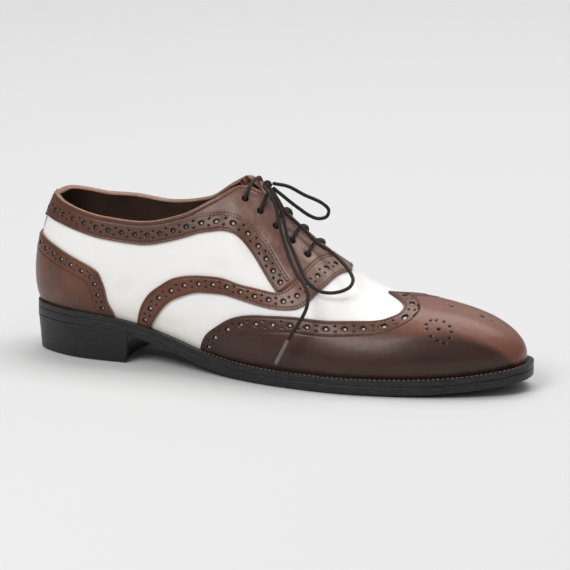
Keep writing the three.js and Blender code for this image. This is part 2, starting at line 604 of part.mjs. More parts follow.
add("outsole", outsoleGeometry(), soleBlack);
add("welt", weltGeometry(), soleBlack);
add("heel", heelGeometry(), soleBlack);
add("insole", insoleGeometry(), liningBrown);
add("upper", upperGeometry(), leatherWhite);
add("wing_cap", overlayGeometry(wingRibs, [-1, 1], 20, 14, crowding), leatherBrown);
add("counter", overlayGeometry(counterRibs, [-1, 1], 6, 8), leatherBrown);
add("collar_facing_lateral", overlayGeometry(collarRibs, [-1], 32, 4, crowding), leatherBrown);
add("collar_facing_medial", overlayGeometry(collarRibs, [1], 32, 4, crowding), leatherBrown);
add("back_strip", backStripGeometry(), leatherBrown);
add("side_band", overlayGeometry(bandRibs, [-1, 1], 24, 2), leatherBrown);
add("tongue", tongueGeometry(), liningBrown);
eyeletRows.forEach((row, i) => add(`lace_bar_${i + 1}`, laceBarGeometry(row), laceDark));
addCord("lace_knot", knotGeometry(), laceDark);
addCord("lace_loop_upper", roundCord(loopUpperRoute, laceDiameter, 16), laceDark);
addCord("lace_loop_lower", roundCord(loopLowerRoute, laceDiameter, 32), laceDark);
addCord("lace_end", roundCord(endRoute, laceDiameter, 20), laceDark);
addCord("lace_aglet", roundCord(agletRoute, agletDiameter, 2), agletGrey);

// The origin is on the floor under the middle of the shoe without its loose lace.
const body = new THREE.Box3();
for (const mesh of shoe.children) {
  if (!cordNames.has(mesh.name)) body.expandByObject(mesh);
}
const middle = body.getCenter(new THREE.Vector3());
shoe.position.set(-middle.x, -middle.y, 0);

export default shoe;
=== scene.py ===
import bmesh
import bpy
import numpy as np
from mathutils import Matrix, Vector


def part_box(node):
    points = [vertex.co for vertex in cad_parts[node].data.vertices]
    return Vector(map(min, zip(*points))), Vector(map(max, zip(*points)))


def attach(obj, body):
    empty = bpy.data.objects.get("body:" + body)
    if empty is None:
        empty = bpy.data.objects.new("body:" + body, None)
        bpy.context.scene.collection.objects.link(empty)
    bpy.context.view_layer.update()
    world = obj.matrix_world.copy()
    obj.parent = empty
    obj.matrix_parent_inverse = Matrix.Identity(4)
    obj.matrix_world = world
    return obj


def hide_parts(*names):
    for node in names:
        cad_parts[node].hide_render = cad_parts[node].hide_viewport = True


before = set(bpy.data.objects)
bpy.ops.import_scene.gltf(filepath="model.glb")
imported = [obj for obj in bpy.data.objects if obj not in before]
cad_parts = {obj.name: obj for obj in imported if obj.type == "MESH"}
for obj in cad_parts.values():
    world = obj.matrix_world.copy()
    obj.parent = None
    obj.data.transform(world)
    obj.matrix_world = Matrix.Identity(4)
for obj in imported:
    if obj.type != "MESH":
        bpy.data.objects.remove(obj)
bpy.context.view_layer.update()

# A two-colour wing-tip oxford for the right foot. The shoe's surface is worked out in millimetres,
# from the back of the upper's bottom edge, and moved into the solid model's frame in metres.
shoeSizes = {
    "lastLength": 296.0, "ballWidth": 91.0, "instepHeight": 118.0, "heelHeight": 20.4,
    "outsole": 5.0, "welt": 3.0, "insole": 2.5, "weltMargin": 4.6, "meetingGap": 0.3,
    "wall": 2.0, "overlay": 1.2, "overlayGap": 0.5, "tongueGap": 0.9, "tongue": 1.6,
    "toeSideOffset": 6.0, "poleShare": 0.899, "throatStation": 0.592, "breastStation": 0.243,
}

# Sections of the last, heel to toe, as shares of the named sizes; fan is in degrees.
sectionColumns = ["station", "foot", "lateral", "medial", "crest", "openLateral", "openMedial", "dipLateral",
                  "dipMedial", "flareLateral", "flareMedial", "rise", "shoulder", "drop", "fan"]
sectionRows = np.array([
    [0, -0.0095, 0, 0, 0.017, 0, 0, 0.169, 0.169, 0.069, 0.069, 0.11, 0.121, 0.195, -90],
    [0.045, 0.0025, 0.165, 0.154, 0.025, 0.121, 0.121, 0.165, 0.165, 0.07, 0.07, 0.11, 0.121, 0.195, -62],
    [0.076, 0.029, 0.242, 0.242, 0.052, 0.198, 0.203, 0.189, 0.181, 0.073, 0.073, 0.119, 0.11, 0.195, -38],
    [0.122, 0.079, 0.319, 0.313, 0.091, 0.262, 0.264, 0.213, 0.206, 0.077, 0.077, 0.119, 0.099, 0.195, -15],
    [0.186, 0.152, 0.349, 0.335, 0.152, 0.295, 0.297, 0.246, 0.219, 0.077, 0.077, 0.119, 0.077, 0.186, 0],
    [0.262, 0.237, 0.341, 0.313, 0.236, 0.289, 0.292, 0.269, 0.246, 0.077, 0.088, 0.127, 0.077, 0.186, 0],
    [0.328, 0.311, 0.355, 0.28, 0.311, 0.253, 0.258, 0.236, 0.22, 0.077, 0.099, 0.144, 0.099, 0.203, 0],
    [0.389, 0.378, 0.385, 0.275, 0.372, 0.181, 0.192, 0.156, 0.127, 0.077, 0.121, 0.169, 0.143, 0.186, 0],
    [0.443, 0.439, 0.424, 0.297, 0.429, 0.086, 0.093, 0.052, 0.036, 0.077, 0.121, 0.186, 0.198, 0.102, 0],
    [0.493, 0.493, 0.459, 0.341, 0.48, 0.013, 0.013, 0.012, 0.003, 0.077, 0.11, 0.195, 0.231, 0.042, 0],
    [0.543, 0.547, 0.488, 0.396, 0.534, 0.011, 0.011, 0.003, 0.002, 0.071, 0.088, 0.186, 0.264, 0.017, 0],
    [0.592, 0.601, 0.51, 0.445, 0.591, 0, 0, 0, 0, 0.066, 0.077, 0.169, 0.297, 0, 0],
    [0.646, 0.662, 0.519, 0.478, 0.652, 0, 0, 0, 0, 0.06, 0.066, 0.153, 0.33, 0, 0],
    [0.701, 0.723, 0.503, 0.478, 0.713, 0, 0, 0, 0, 0.055, 0.055, 0.144, 0.36, 0, 0],
    [0.756, 0.784, 0.465, 0.451, 0.774, 0, 0, 0, 0, 0.049, 0.049, 0.136, 0.365, 0, 0],
    [0.812, 0.845, 0.404, 0.401, 0.831, 0, 0, 0, 0, 0.044, 0.044, 0.127, 0.34, 0, 0],
    [0.867, 0.902, 0.322, 0.335, 0.878, 0, 0, 0, 0, 0.038, 0.038, 0.11, 0.29, 0, 8],
    [0.915, 0.949, 0.237, 0.258, 0.903, 0, 0, 0, 0, 0.038, 0.038, 0.102, 0.25, 0, 30],
    [0.955, 0.983, 0.143, 0.165, 0.91, 0, 0, 0, 0, 0.038, 0.038, 0.093, 0.24, 0, 58],
    [0.981, 0.997, 0.064, 0.071, 0.91, 0, 0, 0, 0, 0.038, 0.038, 0.093, 0.24, 0, 78],
    [1, 1, 0, 0, 0.91, 0, 0, 0, 0, 0.038, 0.038, 0.093, 0.24, 0, 90],
])
crestRows = [[0, 0.958], [0.101, 0.966], [0.203, 0.983], [0.311, 1], [0.378, 1.004], [0.419, 0.981],
             [0.459, 0.903], [0.507, 0.775], [0.554, 0.671], [0.601, 0.585], [0.652, 0.508], [0.713, 0.436],
             [0.774, 0.415], [0.831, 0.397], [0.882, 0.376], [0.919, 0.352]]
centreRows = [[0, 0], [0.203, 0], [0.405, 0.25], [0.608, 0.667], [0.811, 1], [1, 1]]
liftRows = [[0, 1], [0.081, 0.995], [0.152, 0.947], [0.237, 0.767], [0.311, 0.49], [0.378, 0.223],
            [0.439, 0.078], [0.493, 0.019], [0.547, 0], [0.662, 0], [0.723, 0.015], [0.784, 0.042],
            [0.845, 0.08], [0.902, 0.147], [0.949, 0.232], [0.983, 0.31], [1, 0.35]]
marginRows = [[0, 0.33], [0.2, 0.28], [0.3, 0.35], [0.39, 0.55], [0.47, 0.85], [0.55, 1], [1, 1]]


def smoothCurve(knots, values, startSlope=None, endSlope=None):
    # Cubic spline: a v0 + b v1 + ((a^3 - a) m0 + (b^3 - b) m1) w^2 / 6 on each span, straight past both ends
    knots, values = np.asarray(knots, float), np.asarray(values, float)
    last = len(knots) - 1
    width = np.diff(knots)
    slope = np.diff(values) / width
    matrix = np.eye(last + 1)
    target = np.zeros(last + 1)
    for i in range(1, last):
        matrix[i, i - 1:i + 2] = width[i - 1], 2 * (width[i - 1] + width[i]), width[i]
        target[i] = 6 * (slope[i] - slope[i - 1])
    if startSlope is not None:
        matrix[0, :2] = 2 * width[0], width[0]
        target[0] = 6 * (slope[0] - startSlope)
    if endSlope is not None:
        matrix[last, last - 1:] = width[-1], 2 * width[-1]
        target[last] = 6 * (endSlope - slope[-1])
    bends = np.linalg.solve(matrix, target)

    def curve(at):
        inside = np.clip(at, knots[0], knots[-1])
        i = np.clip(np.searchsorted(knots, inside, side="right") - 1, 0, last - 1)
        a = (knots[i + 1] - inside) / width[i]
        b = (inside - knots[i]) / width[i]
        bent = ((a ** 3 - a) * bends[i] + (b ** 3 - b) * bends[i + 1]) * width[i] ** 2 / 6
        steep = slope[i] + ((1 - 3 * a * a) * bends[i] + (3 * b * b - 1) * bends[i + 1]) * width[i] / 6
        return a * values[i] + b * values[i + 1] + bent + steep * (at - inside)

    return curve


def levelCurve(knots, values):
    # Hermite curve that never overshoots: a knot's slope is the weighted harmonic mean of its neighbours
    knots, values = np.asarray(knots, float), np.asarray(values, float)
    width = np.diff(knots)
    slope = np.diff(values) / width
    slopes = np.zeros(len(knots))
    before, after = slope[:-1], slope[1:]
    heavyBefore, heavyAfter = 2 * width[1:] + width[:-1], width[1:] + 2 * width[:-1]
    same = before * after > 0
    mean = heavyBefore / np.where(same, before, 1) + heavyAfter / np.where(same, after, 1)
    slopes[1:-1] = np.where(same, (heavyBefore + heavyAfter) / np.where(same, mean, 1), 0)
    slopes[-1] = slope[-1]

    def curve(at):
        inside = np.clip(at, knots[0], knots[-1])
        i = np.clip(np.searchsorted(knots, inside, side="right") - 1, 0, len(knots) - 2)
        b = (inside - knots[i]) / width[i]
        rest = 1 - b
        level = values[i] * rest * rest * (1 + 2 * b) + values[i + 1] * b * b * (3 - 2 * b)
        slant = slopes[i] * b * rest * rest - slopes[i + 1] * b * b * rest
        return level + slant * width[i] + np.where(at > knots[-1], slopes[-1], slopes[0]) * (at - inside)

    return curve


def sectionCurve(name, size, kind):
    # One column of the section table over the station: flat or free at its ends, or without overshoot
    values = sectionRows[:, sectionColumns.index(name)] * size
    stations = sectionRows[:, 0]
    if kind == "level":
        return levelCurve(stations, values)
    return smoothCurve(stations, values) if kind == "free" else smoothCurve(stations, values, 0, 0)


lastLength, ballWidth = shoeSizes["lastLength"], shoeSizes["ballWidth"]
instepHeight = shoeSizes["instepHeight"]
sectionKinds = {
    "foot": (lastLength, "flat"), "crest": (lastLength, "flat"), "lateral": (ballWidth, "free"),
    "medial": (ballWidth, "free"), "openLateral": (ballWidth, "level"), "openMedial": (ballWidth, "level"),
    "dipLateral": (instepHeight, "level"), "dipMedial": (instepHeight, "level"),
    "flareLateral": (ballWidth, "flat"), "flareMedial": (ballWidth, "flat"), "rise": (instepHeight, "flat"),
    "shoulder": (ballWidth, "flat"), "drop": (instepHeight, "flat"), "fan": (1, "free"),
}
section = {name: sectionCurve(name, size, kind) for name, (size, kind) in sectionKinds.items()}
crestTable, centreTable, liftTable, marginTable = (np.array(rows, float).T for rows in
                                                   (crestRows, centreRows, liftRows, marginRows))
crestHeight = smoothCurve(crestTable[0] * lastLength, crestTable[1] * instepHeight)
centreLine = smoothCurve(centreTable[0] * lastLength, centreTable[1] * shoeSizes["toeSideOffset"], 0, 0)
soleLift = levelCurve(liftTable[0] * lastLength, liftTable[1] * shoeSizes["heelHeight"])
soleMargin = levelCurve(marginTable[0], marginTable[1] * shoeSizes["weltMargin"])
outsoleTop = lambda x: soleLift(x) + shoeSizes["outsole"]
weltTop = lambda x: outsoleTop(x) + shoeSizes["meetingGap"] + shoeSizes["welt"]
featherHeight = lambda x: weltTop(x) + shoeSizes["meetingGap"]
toePole = shoeSizes["poleShare"] * lastLength
upperOuter = -shoeSizes["overlay"] - shoeSizes["overlayGap"]


def unit(vectors):
    return vectors / np.maximum(np.linalg.norm(vectors, axis=-1, keepdims=True), 1e-12)


def bySide(name, station, side):
    return np.where(side < 0, section[name + "Lateral"](station), section[name + "Medial"](station))


def footPoint(station, side, margin=0.0):
    # The bottom edge in plan: x = foot(s), y = centre(x) + side half(s), pushed outwards by the margin
    def plan(at):
        x = section["foot"](at)
        half = np.where(side < 0, section["lateral"](at), section["medial"](at))
        return x, centreLine(x) + side * np.maximum(half, 0)

    step = 1e-4
    x, y = plan(station)
    x0, y0 = plan(np.maximum(station - step, 0))
    x1, y1 = plan(np.minimum(station + step, 1))
    out = unit(np.stack([-side * (y1 - y0), side * (x1 - x0)], -1))
    atEnd = (station <= 0) | (station >= 1)
    outX = np.where(atEnd, np.where(station <= 0, -1.0, 1.0), out[..., 0])
    outY = np.where(atEnd, 0.0, out[..., 1])
    return x + margin * outX, y + margin * outY, outX, outY


def crestSlope(x):
    # The crest's rise over a tenth of a millimetre
    return (crestHeight(x + 0.05) - crestHeight(x - 0.05)) / 0.1


def lastPoint(station, height, side):
    # Bezier section (1-t)^3 foot + 3(1-t)^2 t low + 3(1-t) t^2 high + t^3 top at every station
    station, height, side = np.broadcast_arrays(station, height, side)
    x, y, outX, outY = footPoint(station, side)
    foot = np.stack([x, y, featherHeight(x)], -1)
    flare = bySide("flare", station, side)
    low = foot + np.stack([flare * outX, flare * outY, section["rise"](station)], -1)
    topX = np.minimum(section["crest"](station), toePole)
    topY = centreLine(topX) + side * bySide("open", station, side)
    top = np.stack([topX, topY, crestHeight(topX) - bySide("dip", station, side)], -1)
    turn = np.radians(np.clip(section["fan"](station), -90, 90))
    slope = np.where(turn > 0, crestSlope(topX), 0)
    shoulder = section["shoulder"](station)
    ahead = np.sin(turn) * shoulder / np.sqrt(1 + slope ** 2)
    fall = ahead * slope - section["drop"](station)
    high = top + np.stack([ahead, side * np.cos(turn) * shoulder, fall], -1)
    t = height[..., None]
    return (1 - t) ** 3 * foot + 3 * (1 - t) ** 2 * t * low + 3 * (1 - t) * t * t * high + t ** 3 * top


def sideNormal(station, height, side):
    # Cross product of the surface's two slopes, taken within one side
    step = 1e-3
    inner = np.minimum(height, 1 - step)
    ahead, behind = np.minimum(station + step, 1), np.maximum(station - step, 0)
    alongStation = lastPoint(ahead, inner, side) - lastPoint(behind, inner, side)
    lower = np.maximum(inner - step, 0)
    alongHeight = lastPoint(station, inner + step, side) - lastPoint(station, lower, side)
    return unit(np.cross(alongStation, alongHeight) * -side[..., None])


def lastNormal(station, height, side):
    # Cross product of the two slopes, the mean of both sides at the ends, the crest's own normal at the top
    station, height, side = (np.array(part, float) for part in np.broadcast_arrays(station, height, side))
    normal = sideNormal(station, height, side)
    ends = (station <= 0) | (station >= 1)
    if ends.any():
        normal[ends] = unit(normal[ends] + sideNormal(station[ends], height[ends], -side[ends]))
    onCrest = (height >= 1) & (station >= shoeSizes["throatStation"])
    slope = crestSlope(np.minimum(section["crest"](station), toePole))
    crest = unit(np.stack([-slope, 0 * slope, 1 + 0 * slope], -1))
    return np.where(onCrest[..., None], crest, normal)


def offLast(station, height, side, distance):
    # Point + n distance; near the sole n turns level, so that the bottom edge stays flat
    station, height, side = np.broadcast_arrays(station, height, side)
    normal = lastNormal(station, height, side)
    _, _, outX, outY = footPoint(station, side)
    level = (np.maximum(0, 1 - height / 0.1) ** 2)[..., None]
    normal = unit(normal * (1 - level) + np.stack([outX, outY, 0 * outX], -1) * level)
    return lastPoint(station, height, side) + normal * np.asarray(distance)[..., None], normal


# The sole's outline gives the shift from the last's own frame to the solid model's
aroundStations = np.concatenate([np.linspace(0, 1, 401), np.linspace(1, 0, 401)])
aroundSides = np.repeat([-1.0, 1.0], 401)
outlineX, outlineY, _, _ = footPoint(aroundStations, aroundSides, soleMargin(aroundStations))
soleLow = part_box("outsole")[0]
frameShift = np.array([soleLow.x * 1000 - outlineX.min(), soleLow.y * 1000 - outlineY.min(), 0.0])


def toFrame(points):
    return (np.asarray(points, float) + frameShift) * 0.001


# Mesh helpers
def gridQuads(rows, columns, closed=False):
    # The four corner numbers of every cell of a grid; a closed one goes on round to its first column
    index = np.arange(rows * columns).reshape(rows, columns)
    if closed:
        index = np.concatenate([index, index[:, :1]], axis=1)
    corners = [index[:-1, :-1], index[1:, :-1], index[1:, 1:], index[:-1, 1:]]
    return np.stack(corners, -1).reshape(-1, 4)


def facedOut(points, quads, normals):
    # Turns all faces over if most of them look against the given normals
    corner = [points[quads[:, i]] for i in range(4)]
    diagonals = np.cross(corner[2] - corner[0], corner[3] - corner[1])
    return quads if (diagonals * normals[quads[:, 0]]).sum() > 0 else quads[:, ::-1]


def joinParts(parts):
    # Several (points, quads, fields) as one, with the face numbers moved on
    shift = np.cumsum([0] + [len(part[0]) for part in parts[:-1]])
    points = np.concatenate([part[0] for part in parts])
    quads = np.concatenate([part[1] + start for part, start in zip(parts, shift)])
    names = parts[0][2].keys()
    fields = {name: np.concatenate([part[2][name] for part in parts]) for name in names}
    return points, quads, fields


def makePiece(name, points, quads, material, fields=None, uv=None, weld=0.0):
    # Points in the last's millimetres; fields are one number a point, read by the materials
    mesh = bpy.data.meshes.new(name)
    mesh.from_pydata(toFrame(points), [], quads.tolist())
    for fieldName, values in (fields or {}).items():
        layer = mesh.attributes.new(fieldName, "FLOAT", "POINT")
        layer.data.foreach_set("value", values.astype(np.float32).ravel())
    if uv is not None:
        corners = np.zeros(len(mesh.loops), np.int32)
        mesh.loops.foreach_get("vertex_index", corners)
        mesh.uv_layers.new(name="along").data.foreach_set("uv", uv[corners].astype(np.float32).ravel())
    if weld:
        work = bmesh.new()
        work.from_mesh(mesh)
        bmesh.ops.remove_doubles(work, verts=work.verts, dist=weld)
        work.to_mesh(mesh)
        work.free()
    mesh.validate()
    mesh.polygons.foreach_set("use_smooth", np.ones(len(mesh.polygons), bool))
    mesh.materials.append(material)
    piece = bpy.data.objects.new(name, mesh)
    bpy.context.scene.collection.objects.link(piece)
    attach(piece, "root")
    return piece


def pathLengths(points):
    # The length along a path up to each of its points
    return np.concatenate([[0], np.cumsum(np.linalg.norm(np.diff(points, axis=0), axis=1))])


def resample(points, positions):
    # The points at the given lengths along a path
    lengths = pathLengths(points)
    return np.stack([np.interp(positions, lengths, points[:, axis]) for axis in range(points.shape[1])], -1)


def roundedRoute(points, steps):
    # Centripetal Catmull-Rom curve through the points, sampled evenly
    points = np.asarray(points, float)
    padded = np.concatenate([[2 * points[0] - points[1]], points, [2 * points[-1] - points[-2]]])
    knots = np.concatenate([[0], np.cumsum(np.linalg.norm(np.diff(padded, axis=0), axis=1) ** 0.5)])
    at = np.linspace(knots[1], knots[-2], 20 * len(points))
    i = np.clip(np.searchsorted(knots, at, side="right") - 1, 1, len(points) - 1)
    mix = lambda a, b, k0, k1: (a * (k1 - at)[:, None] + b * (at - k0)[:, None]) / (k1 - k0)[:, None]
    k = [knots[i + shift] for shift in (-1, 0, 1, 2)]
    p = [padded[i + shift] for shift in (-1, 0, 1, 2)]
    first = [mix(p[j], p[j + 1], k[j], k[j + 1]) for j in range(3)]
    second = [mix(first[j], first[j + 1], k[j], k[j + 2]) for j in range(2)]
    curve = mix(second[0], second[1], k[1], k[2])
    return resample(curve, np.linspace(0, pathLengths(curve)[-1], steps + 1))


def pathFrames(points, hint=(0.0, 0.0, 1.0)):
    # Tangent, sideways and upward directions along a path, upward kept near the hint
    tangent = unit(np.gradient(points, axis=0))
    sideways = unit(np.cross(tangent, np.broadcast_to(hint, tangent.shape)))
    return tangent, sideways, np.cross(sideways, tangent)


# Node helpers
def makeNode(tree, kind, inputs=None, **settings):
    made = tree.nodes.new(kind)
    for name, value in settings.items():
        setattr(made, name, value)
    for name, value in (inputs or {}).items():
        if isinstance(value, bpy.types.NodeSocket):
            tree.links.new(value, made.inputs[name])
        else:
            made.inputs[name].default_value = value
    return made


def calculate(tree, operation, *values, clamp=False):
    inputs = dict(enumerate(values))
    return makeNode(tree, "ShaderNodeMath", inputs, operation=operation, use_clamp=clamp).outputs[0]


def fade(tree, value, start, end):
    # 0 at start, 1 at end, smooth between them
    inputs = {0: value, 1: start, 2: end}
    return makeNode(tree, "ShaderNodeMapRange", inputs, interpolation_type="SMOOTHSTEP").outputs[0]


def blendColour(tree, share, first, second):
    made = makeNode(tree, "ShaderNodeMix", {0: share, 6: first, 7: second}, data_type="RGBA")
    return made.outputs[2]


def field(tree, name):
    return makeNode(tree, "ShaderNodeAttribute", attribute_name=name).outputs["Fac"]


def stretchedPlace(tree, stretch):
    place = makeNode(tree, "ShaderNodeTexCoord").outputs["Object"]
    return makeNode(tree, "ShaderNodeMapping", {"Vector": place, "Scale": stretch}).outputs[0]


def grain(tree, scale, detail=3.0, roughness=0.5, stretch=(1.0, 1.0, 1.0)):
    # Noise on object coordinates; scale is in cells a metre
    place = stretchedPlace(tree, stretch)
    inputs = {"Vector": place, "Scale": scale, "Detail": detail, "Roughness": roughness}
    return makeNode(tree, "ShaderNodeTexNoise", inputs).outputs["Fac"]


def cells(tree, scale):
    # Distance to the middle of the nearest cell; scale is in cells a metre
    place = stretchedPlace(tree, (1.0, 1.0, 1.0))
    return makeNode(tree, "ShaderNodeTexVoronoi", {"Vector": place, "Scale": scale}).outputs["Distance"]


def relief(tree, height, depth, normal=None):
    # Bump from a height field; depth is in metres
    inputs = {"Height": height, "Distance": depth, "Strength": 1.0}
    if normal is not None:
        inputs["Normal"] = normal
    return makeNode(tree, "ShaderNodeBump", inputs).outputs[0]


def startMaterial(name, **shader):
    # A new material and its surface shader, with the constant values on the shader's own sockets
    material = bpy.data.materials.new(name)
    material.use_nodes = True
    surface = material.node_tree.nodes["Principled BSDF"]
    for socket, value in shader.items():
        surface.inputs[socket.replace("_", " ")].default_value = value
    return material, material.node_tree, surface


def rgb(red, green, blue):
    # A colour as seen on screen, 0 to 255, turned into linear light
    shares = np.array([red, green, blue]) / 255
    linear = np.where(shares > 0.04045, ((shares + 0.055) / 1.055) ** 2.4, shares / 12.92)
    return (*linear, 1.0)


# Camera: the photograph's angle, with the one shoe filling the frame
cameraLook = {"azimuth": 20.7, "elevation": 13.9, "roll": 0.74, "distance": 2600.0,
              "target": (150.0, 0.0, 45.0), "lens": 280.0, "shiftY": 0.012}
turn, tilt, roll = (np.radians(cameraLook[name]) for name in ("azimuth", "elevation", "roll"))
towards = np.array([np.sin(turn) * np.cos(tilt), -np.cos(turn) * np.cos(tilt), np.sin(tilt)])
level = np.array([np.cos(turn), np.sin(turn), 0.0])
upward = np.cross(towards, level)
rolledRight = level * np.cos(roll) + upward * np.sin(roll)
rolledUp = upward * np.cos(roll) - level * np.sin(roll)
camera = bpy.data.objects.new("camera", bpy.data.cameras.new("camera"))
bpy.context.scene.collection.objects.link(camera)
camera.data.sensor_width = 36.0
camera.data.sensor_fit = "HORIZONTAL"
camera.data.lens = cameraLook["lens"]
camera.data.shift_y = cameraLook["shiftY"]
camera.data.clip_end = 100.0
cameraPlace = toFrame(np.array(cameraLook["target"]) + towards * cameraLook["distance"])
axes = Matrix([list(rolledRight), list(rolledUp), list(towards)]).transposed().to_4x4()
camera.matrix_world = Matrix.Translation(Vector(cameraPlace)) @ axes
bpy.context.scene.camera = camera
print("camera set")

# Waxed round lace
laceLook = {"diameter": 2.1, "sides": 14, "braidAcross": 6.0, "braidPitch": 2.2, "dark": rgb(24, 18, 16),
            "light": rgb(50, 39, 34)}


def laceMaterial():
    # Two crossing sets of strands, sin(around +- along), over a waxed dark cord
    material, tree, surface = startMaterial("waxedLace", Roughness=0.5)
    surface.inputs["Specular IOR Level"].default_value = 0.3
    place = makeNode(tree, "ShaderNodeUVMap", uv_map="along").outputs[0]
    parts = makeNode(tree, "ShaderNodeSeparateXYZ", {0: place}).outputs
    along = calculate(tree, "MULTIPLY", parts[0], 2 * np.pi / laceLook["braidPitch"])
    around = calculate(tree, "MULTIPLY", parts[1], 2 * np.pi * laceLook["braidAcross"])
    leftHand = calculate(tree, "SINE", calculate(tree, "ADD", along, around))
    rightHand = calculate(tree, "SINE", calculate(tree, "SUBTRACT", along, around))
    braid = calculate(tree, "MAXIMUM", leftHand, rightHand)
    fuzz = grain(tree, 3000.0)
    high = calculate(tree, "ADD", braid, calculate(tree, "MULTIPLY", fuzz, 0.5))
    shade = calculate(tree, "MULTIPLY", fade(tree, high, -0.2, 1.6), 0.9)
    base = blendColour(tree, shade, laceLook["dark"], laceLook["light"])
    tree.links.new(base, surface.inputs["Base Color"])
    tree.links.new(relief(tree, high, 0.00012), surface.inputs["Normal"])
    return material


def agletMaterial():
    # Grey sleeve with long scuffs
    material, tree, surface = startMaterial("agletSleeve", Roughness=0.34, Coat_Weight=0.3)
    scuffs = grain(tree, 900.0, stretch=(1.0, 1.0, 0.2))
    tone = blendColour(tree, scuffs, rgb(88, 76, 72), rgb(124, 110, 104))
    tree.links.new(tone, surface.inputs["Base Color"])
    tree.links.new(relief(tree, scuffs, 0.00003), surface.inputs["Normal"])
    return material


def tube(centre, radius, sides, hint=(0.0, 0.0, 1.0), capSteps=3):
    # Round tube: centre(u) + r (cos v side + sin v up), closed by domes; uv is length in mm and share around
    tangent, sideways, upwards = pathFrames(centre, hint)
    radii = np.broadcast_to(radius, len(centre)).astype(float)
    angles = np.linspace(0, np.pi / 2, capSteps + 1)[:-1]
    domeStart = centre[0] - np.outer(np.cos(angles) * radii[0], tangent[0])
    domeEnd = centre[-1] + np.outer(np.cos(angles[::-1]) * radii[-1], tangent[-1])
    rings = np.concatenate([domeStart, centre, domeEnd])
    startRadii = np.sin(angles) * radii[0] + 1e-4
    endRadii = np.sin(angles[::-1]) * radii[-1] + 1e-4
    ringRadii = np.concatenate([startRadii, radii, endRadii])
    pick = np.clip(np.arange(len(rings)) - capSteps, 0, len(centre) - 1)
    around = np.linspace(0, 2 * np.pi, sides, endpoint=False)
    circle = np.cos(around)[None, :, None] * sideways[pick][:, None] \
        + np.sin(around)[None, :, None] * upwards[pick][:, None]
    points = rings[:, None] + circle * ringRadii[:, None, None]
    lengths = np.broadcast_to(pathLengths(rings)[:, None], points.shape[:2])
    turns = np.broadcast_to(around / (2 * np.pi), points.shape[:2])
    quads = gridQuads(len(rings), sides, closed=True)
    flat = points.reshape(-1, 3)
    return flat, facedOut(flat, quads, circle.reshape(-1, 3)), np.stack([lengths, turns], -1).reshape(-1, 2)


def tubePiece(name, centre, radius, sides, material, hint=(0.0, 0.0, 1.0)):
    points, quads, uv = tube(centre, radius, sides, hint)
    return makePiece(name, points, quads, material, uv=uv)


# The free part of the lace, on the routes that the solids have, in the last's millimetres
laceRoutes = {
    "loopUpper": [
        [142, 0.6, 109.2], [149.5, 4, 107.5], [159, 7, 102.5], [168.5, 9, 98.5], [173, 9.5, 94.5],
        [172, 9, 90.5], [167, 8, 89], [162, 6, 91], [156.5, 4, 95], [152, 2.5, 98.5], [147.5, 1, 102.3],
        [142.2, 0, 106.4]],
    "loopLower": [
        [141.1, -2.6, 106.5], [146, -3.2, 100.8], [152, -5, 93.5], [161, -3, 85.5], [171.5, -3.5, 77.2],
        [179.5, -4, 73], [187.5, -7, 68.5], [194, -11, 64], [198, -16, 60.5], [198, -21, 57.5],
        [194.5, -25, 55.5], [188.5, -28, 54.5], [182.5, -30, 55.5], [177.5, -30.5, 58.5], [173.5, -29, 61.5],
        [169, -25.5, 66.5], [163, -20.5, 74], [158, -17, 81], [154.5, -13, 87.5], [151.5, -9.5, 93.5],
        [147.5, -7.2, 99.8], [141, -3.9, 107.7]],
    "end": [
        [138.2, -4.9, 108], [143, -9.2, 105.3], [148, -12, 99], [152, -16.5, 90], [157, -21.5, 81],
        [163, -27, 71.5], [169, -32, 65], [175, -36, 60.5], [179, -40, 56.5], [180.5, -43.5, 51.5],
        [180.2, -46, 47.5], [179, -48.5, 43.5], [177, -50, 39.5], [174.5, -51.5, 35], [172, -52.3, 30.5]],
    "aglet": [[171.8, -52.4, 30.1], [165.5, -54, 16.5]],
}
# The knot: its place, the half sizes of the wrap, and two strands from that place
knotLook = {
    "place": [138.3, -0.5, 108.4], "wrap": (1.55, 0.55, 1.75), "wrapSteps": 40, "thickness": 0.95,
    "over": [[-1.2, 2.3, -1.0], [-0.2, 1.2, 0.6], [0.6, -0.4, 0.9], [0.9, -2.4, -0.3]],
    "under": [[1.3, 2.2, -0.6], [0.3, 0.9, 0.2], [-0.7, -0.8, 0.6], [-1.0, -2.3, -0.6]],
}
waxedLace = laceMaterial()
agletSleeve = agletMaterial()


def freeLace():
    # The end with its sleeve and the two loops
    radius = laceLook["diameter"] / 2
    sleeveRoute = roundedRoute(laceRoutes["aglet"], 24)
    swell = np.concatenate([[1.04], np.full(21, 1.12), [1.1, 1.0, 0.85]])
    sleeve = tubePiece("laceAglet", sleeveRoute, radius * swell, 16, agletSleeve)
    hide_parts("lace_aglet")
    for name, node, steps, farEnd, pieces in (("laceEnd", "lace_end", 110, "bare", [sleeve]),
                                              ("laceLoopUpper", "lace_loop_upper", 90, "object", []),
                                              ("laceLoopLower", "lace_loop_lower", 170, "object", [])):
        route = roundedRoute(laceRoutes[name[4].lower() + name[5:]], steps)
        cordPiece = tubePiece(name, route, radius, laceLook["sides"], waxedLace)
        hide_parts(node)
    return radius


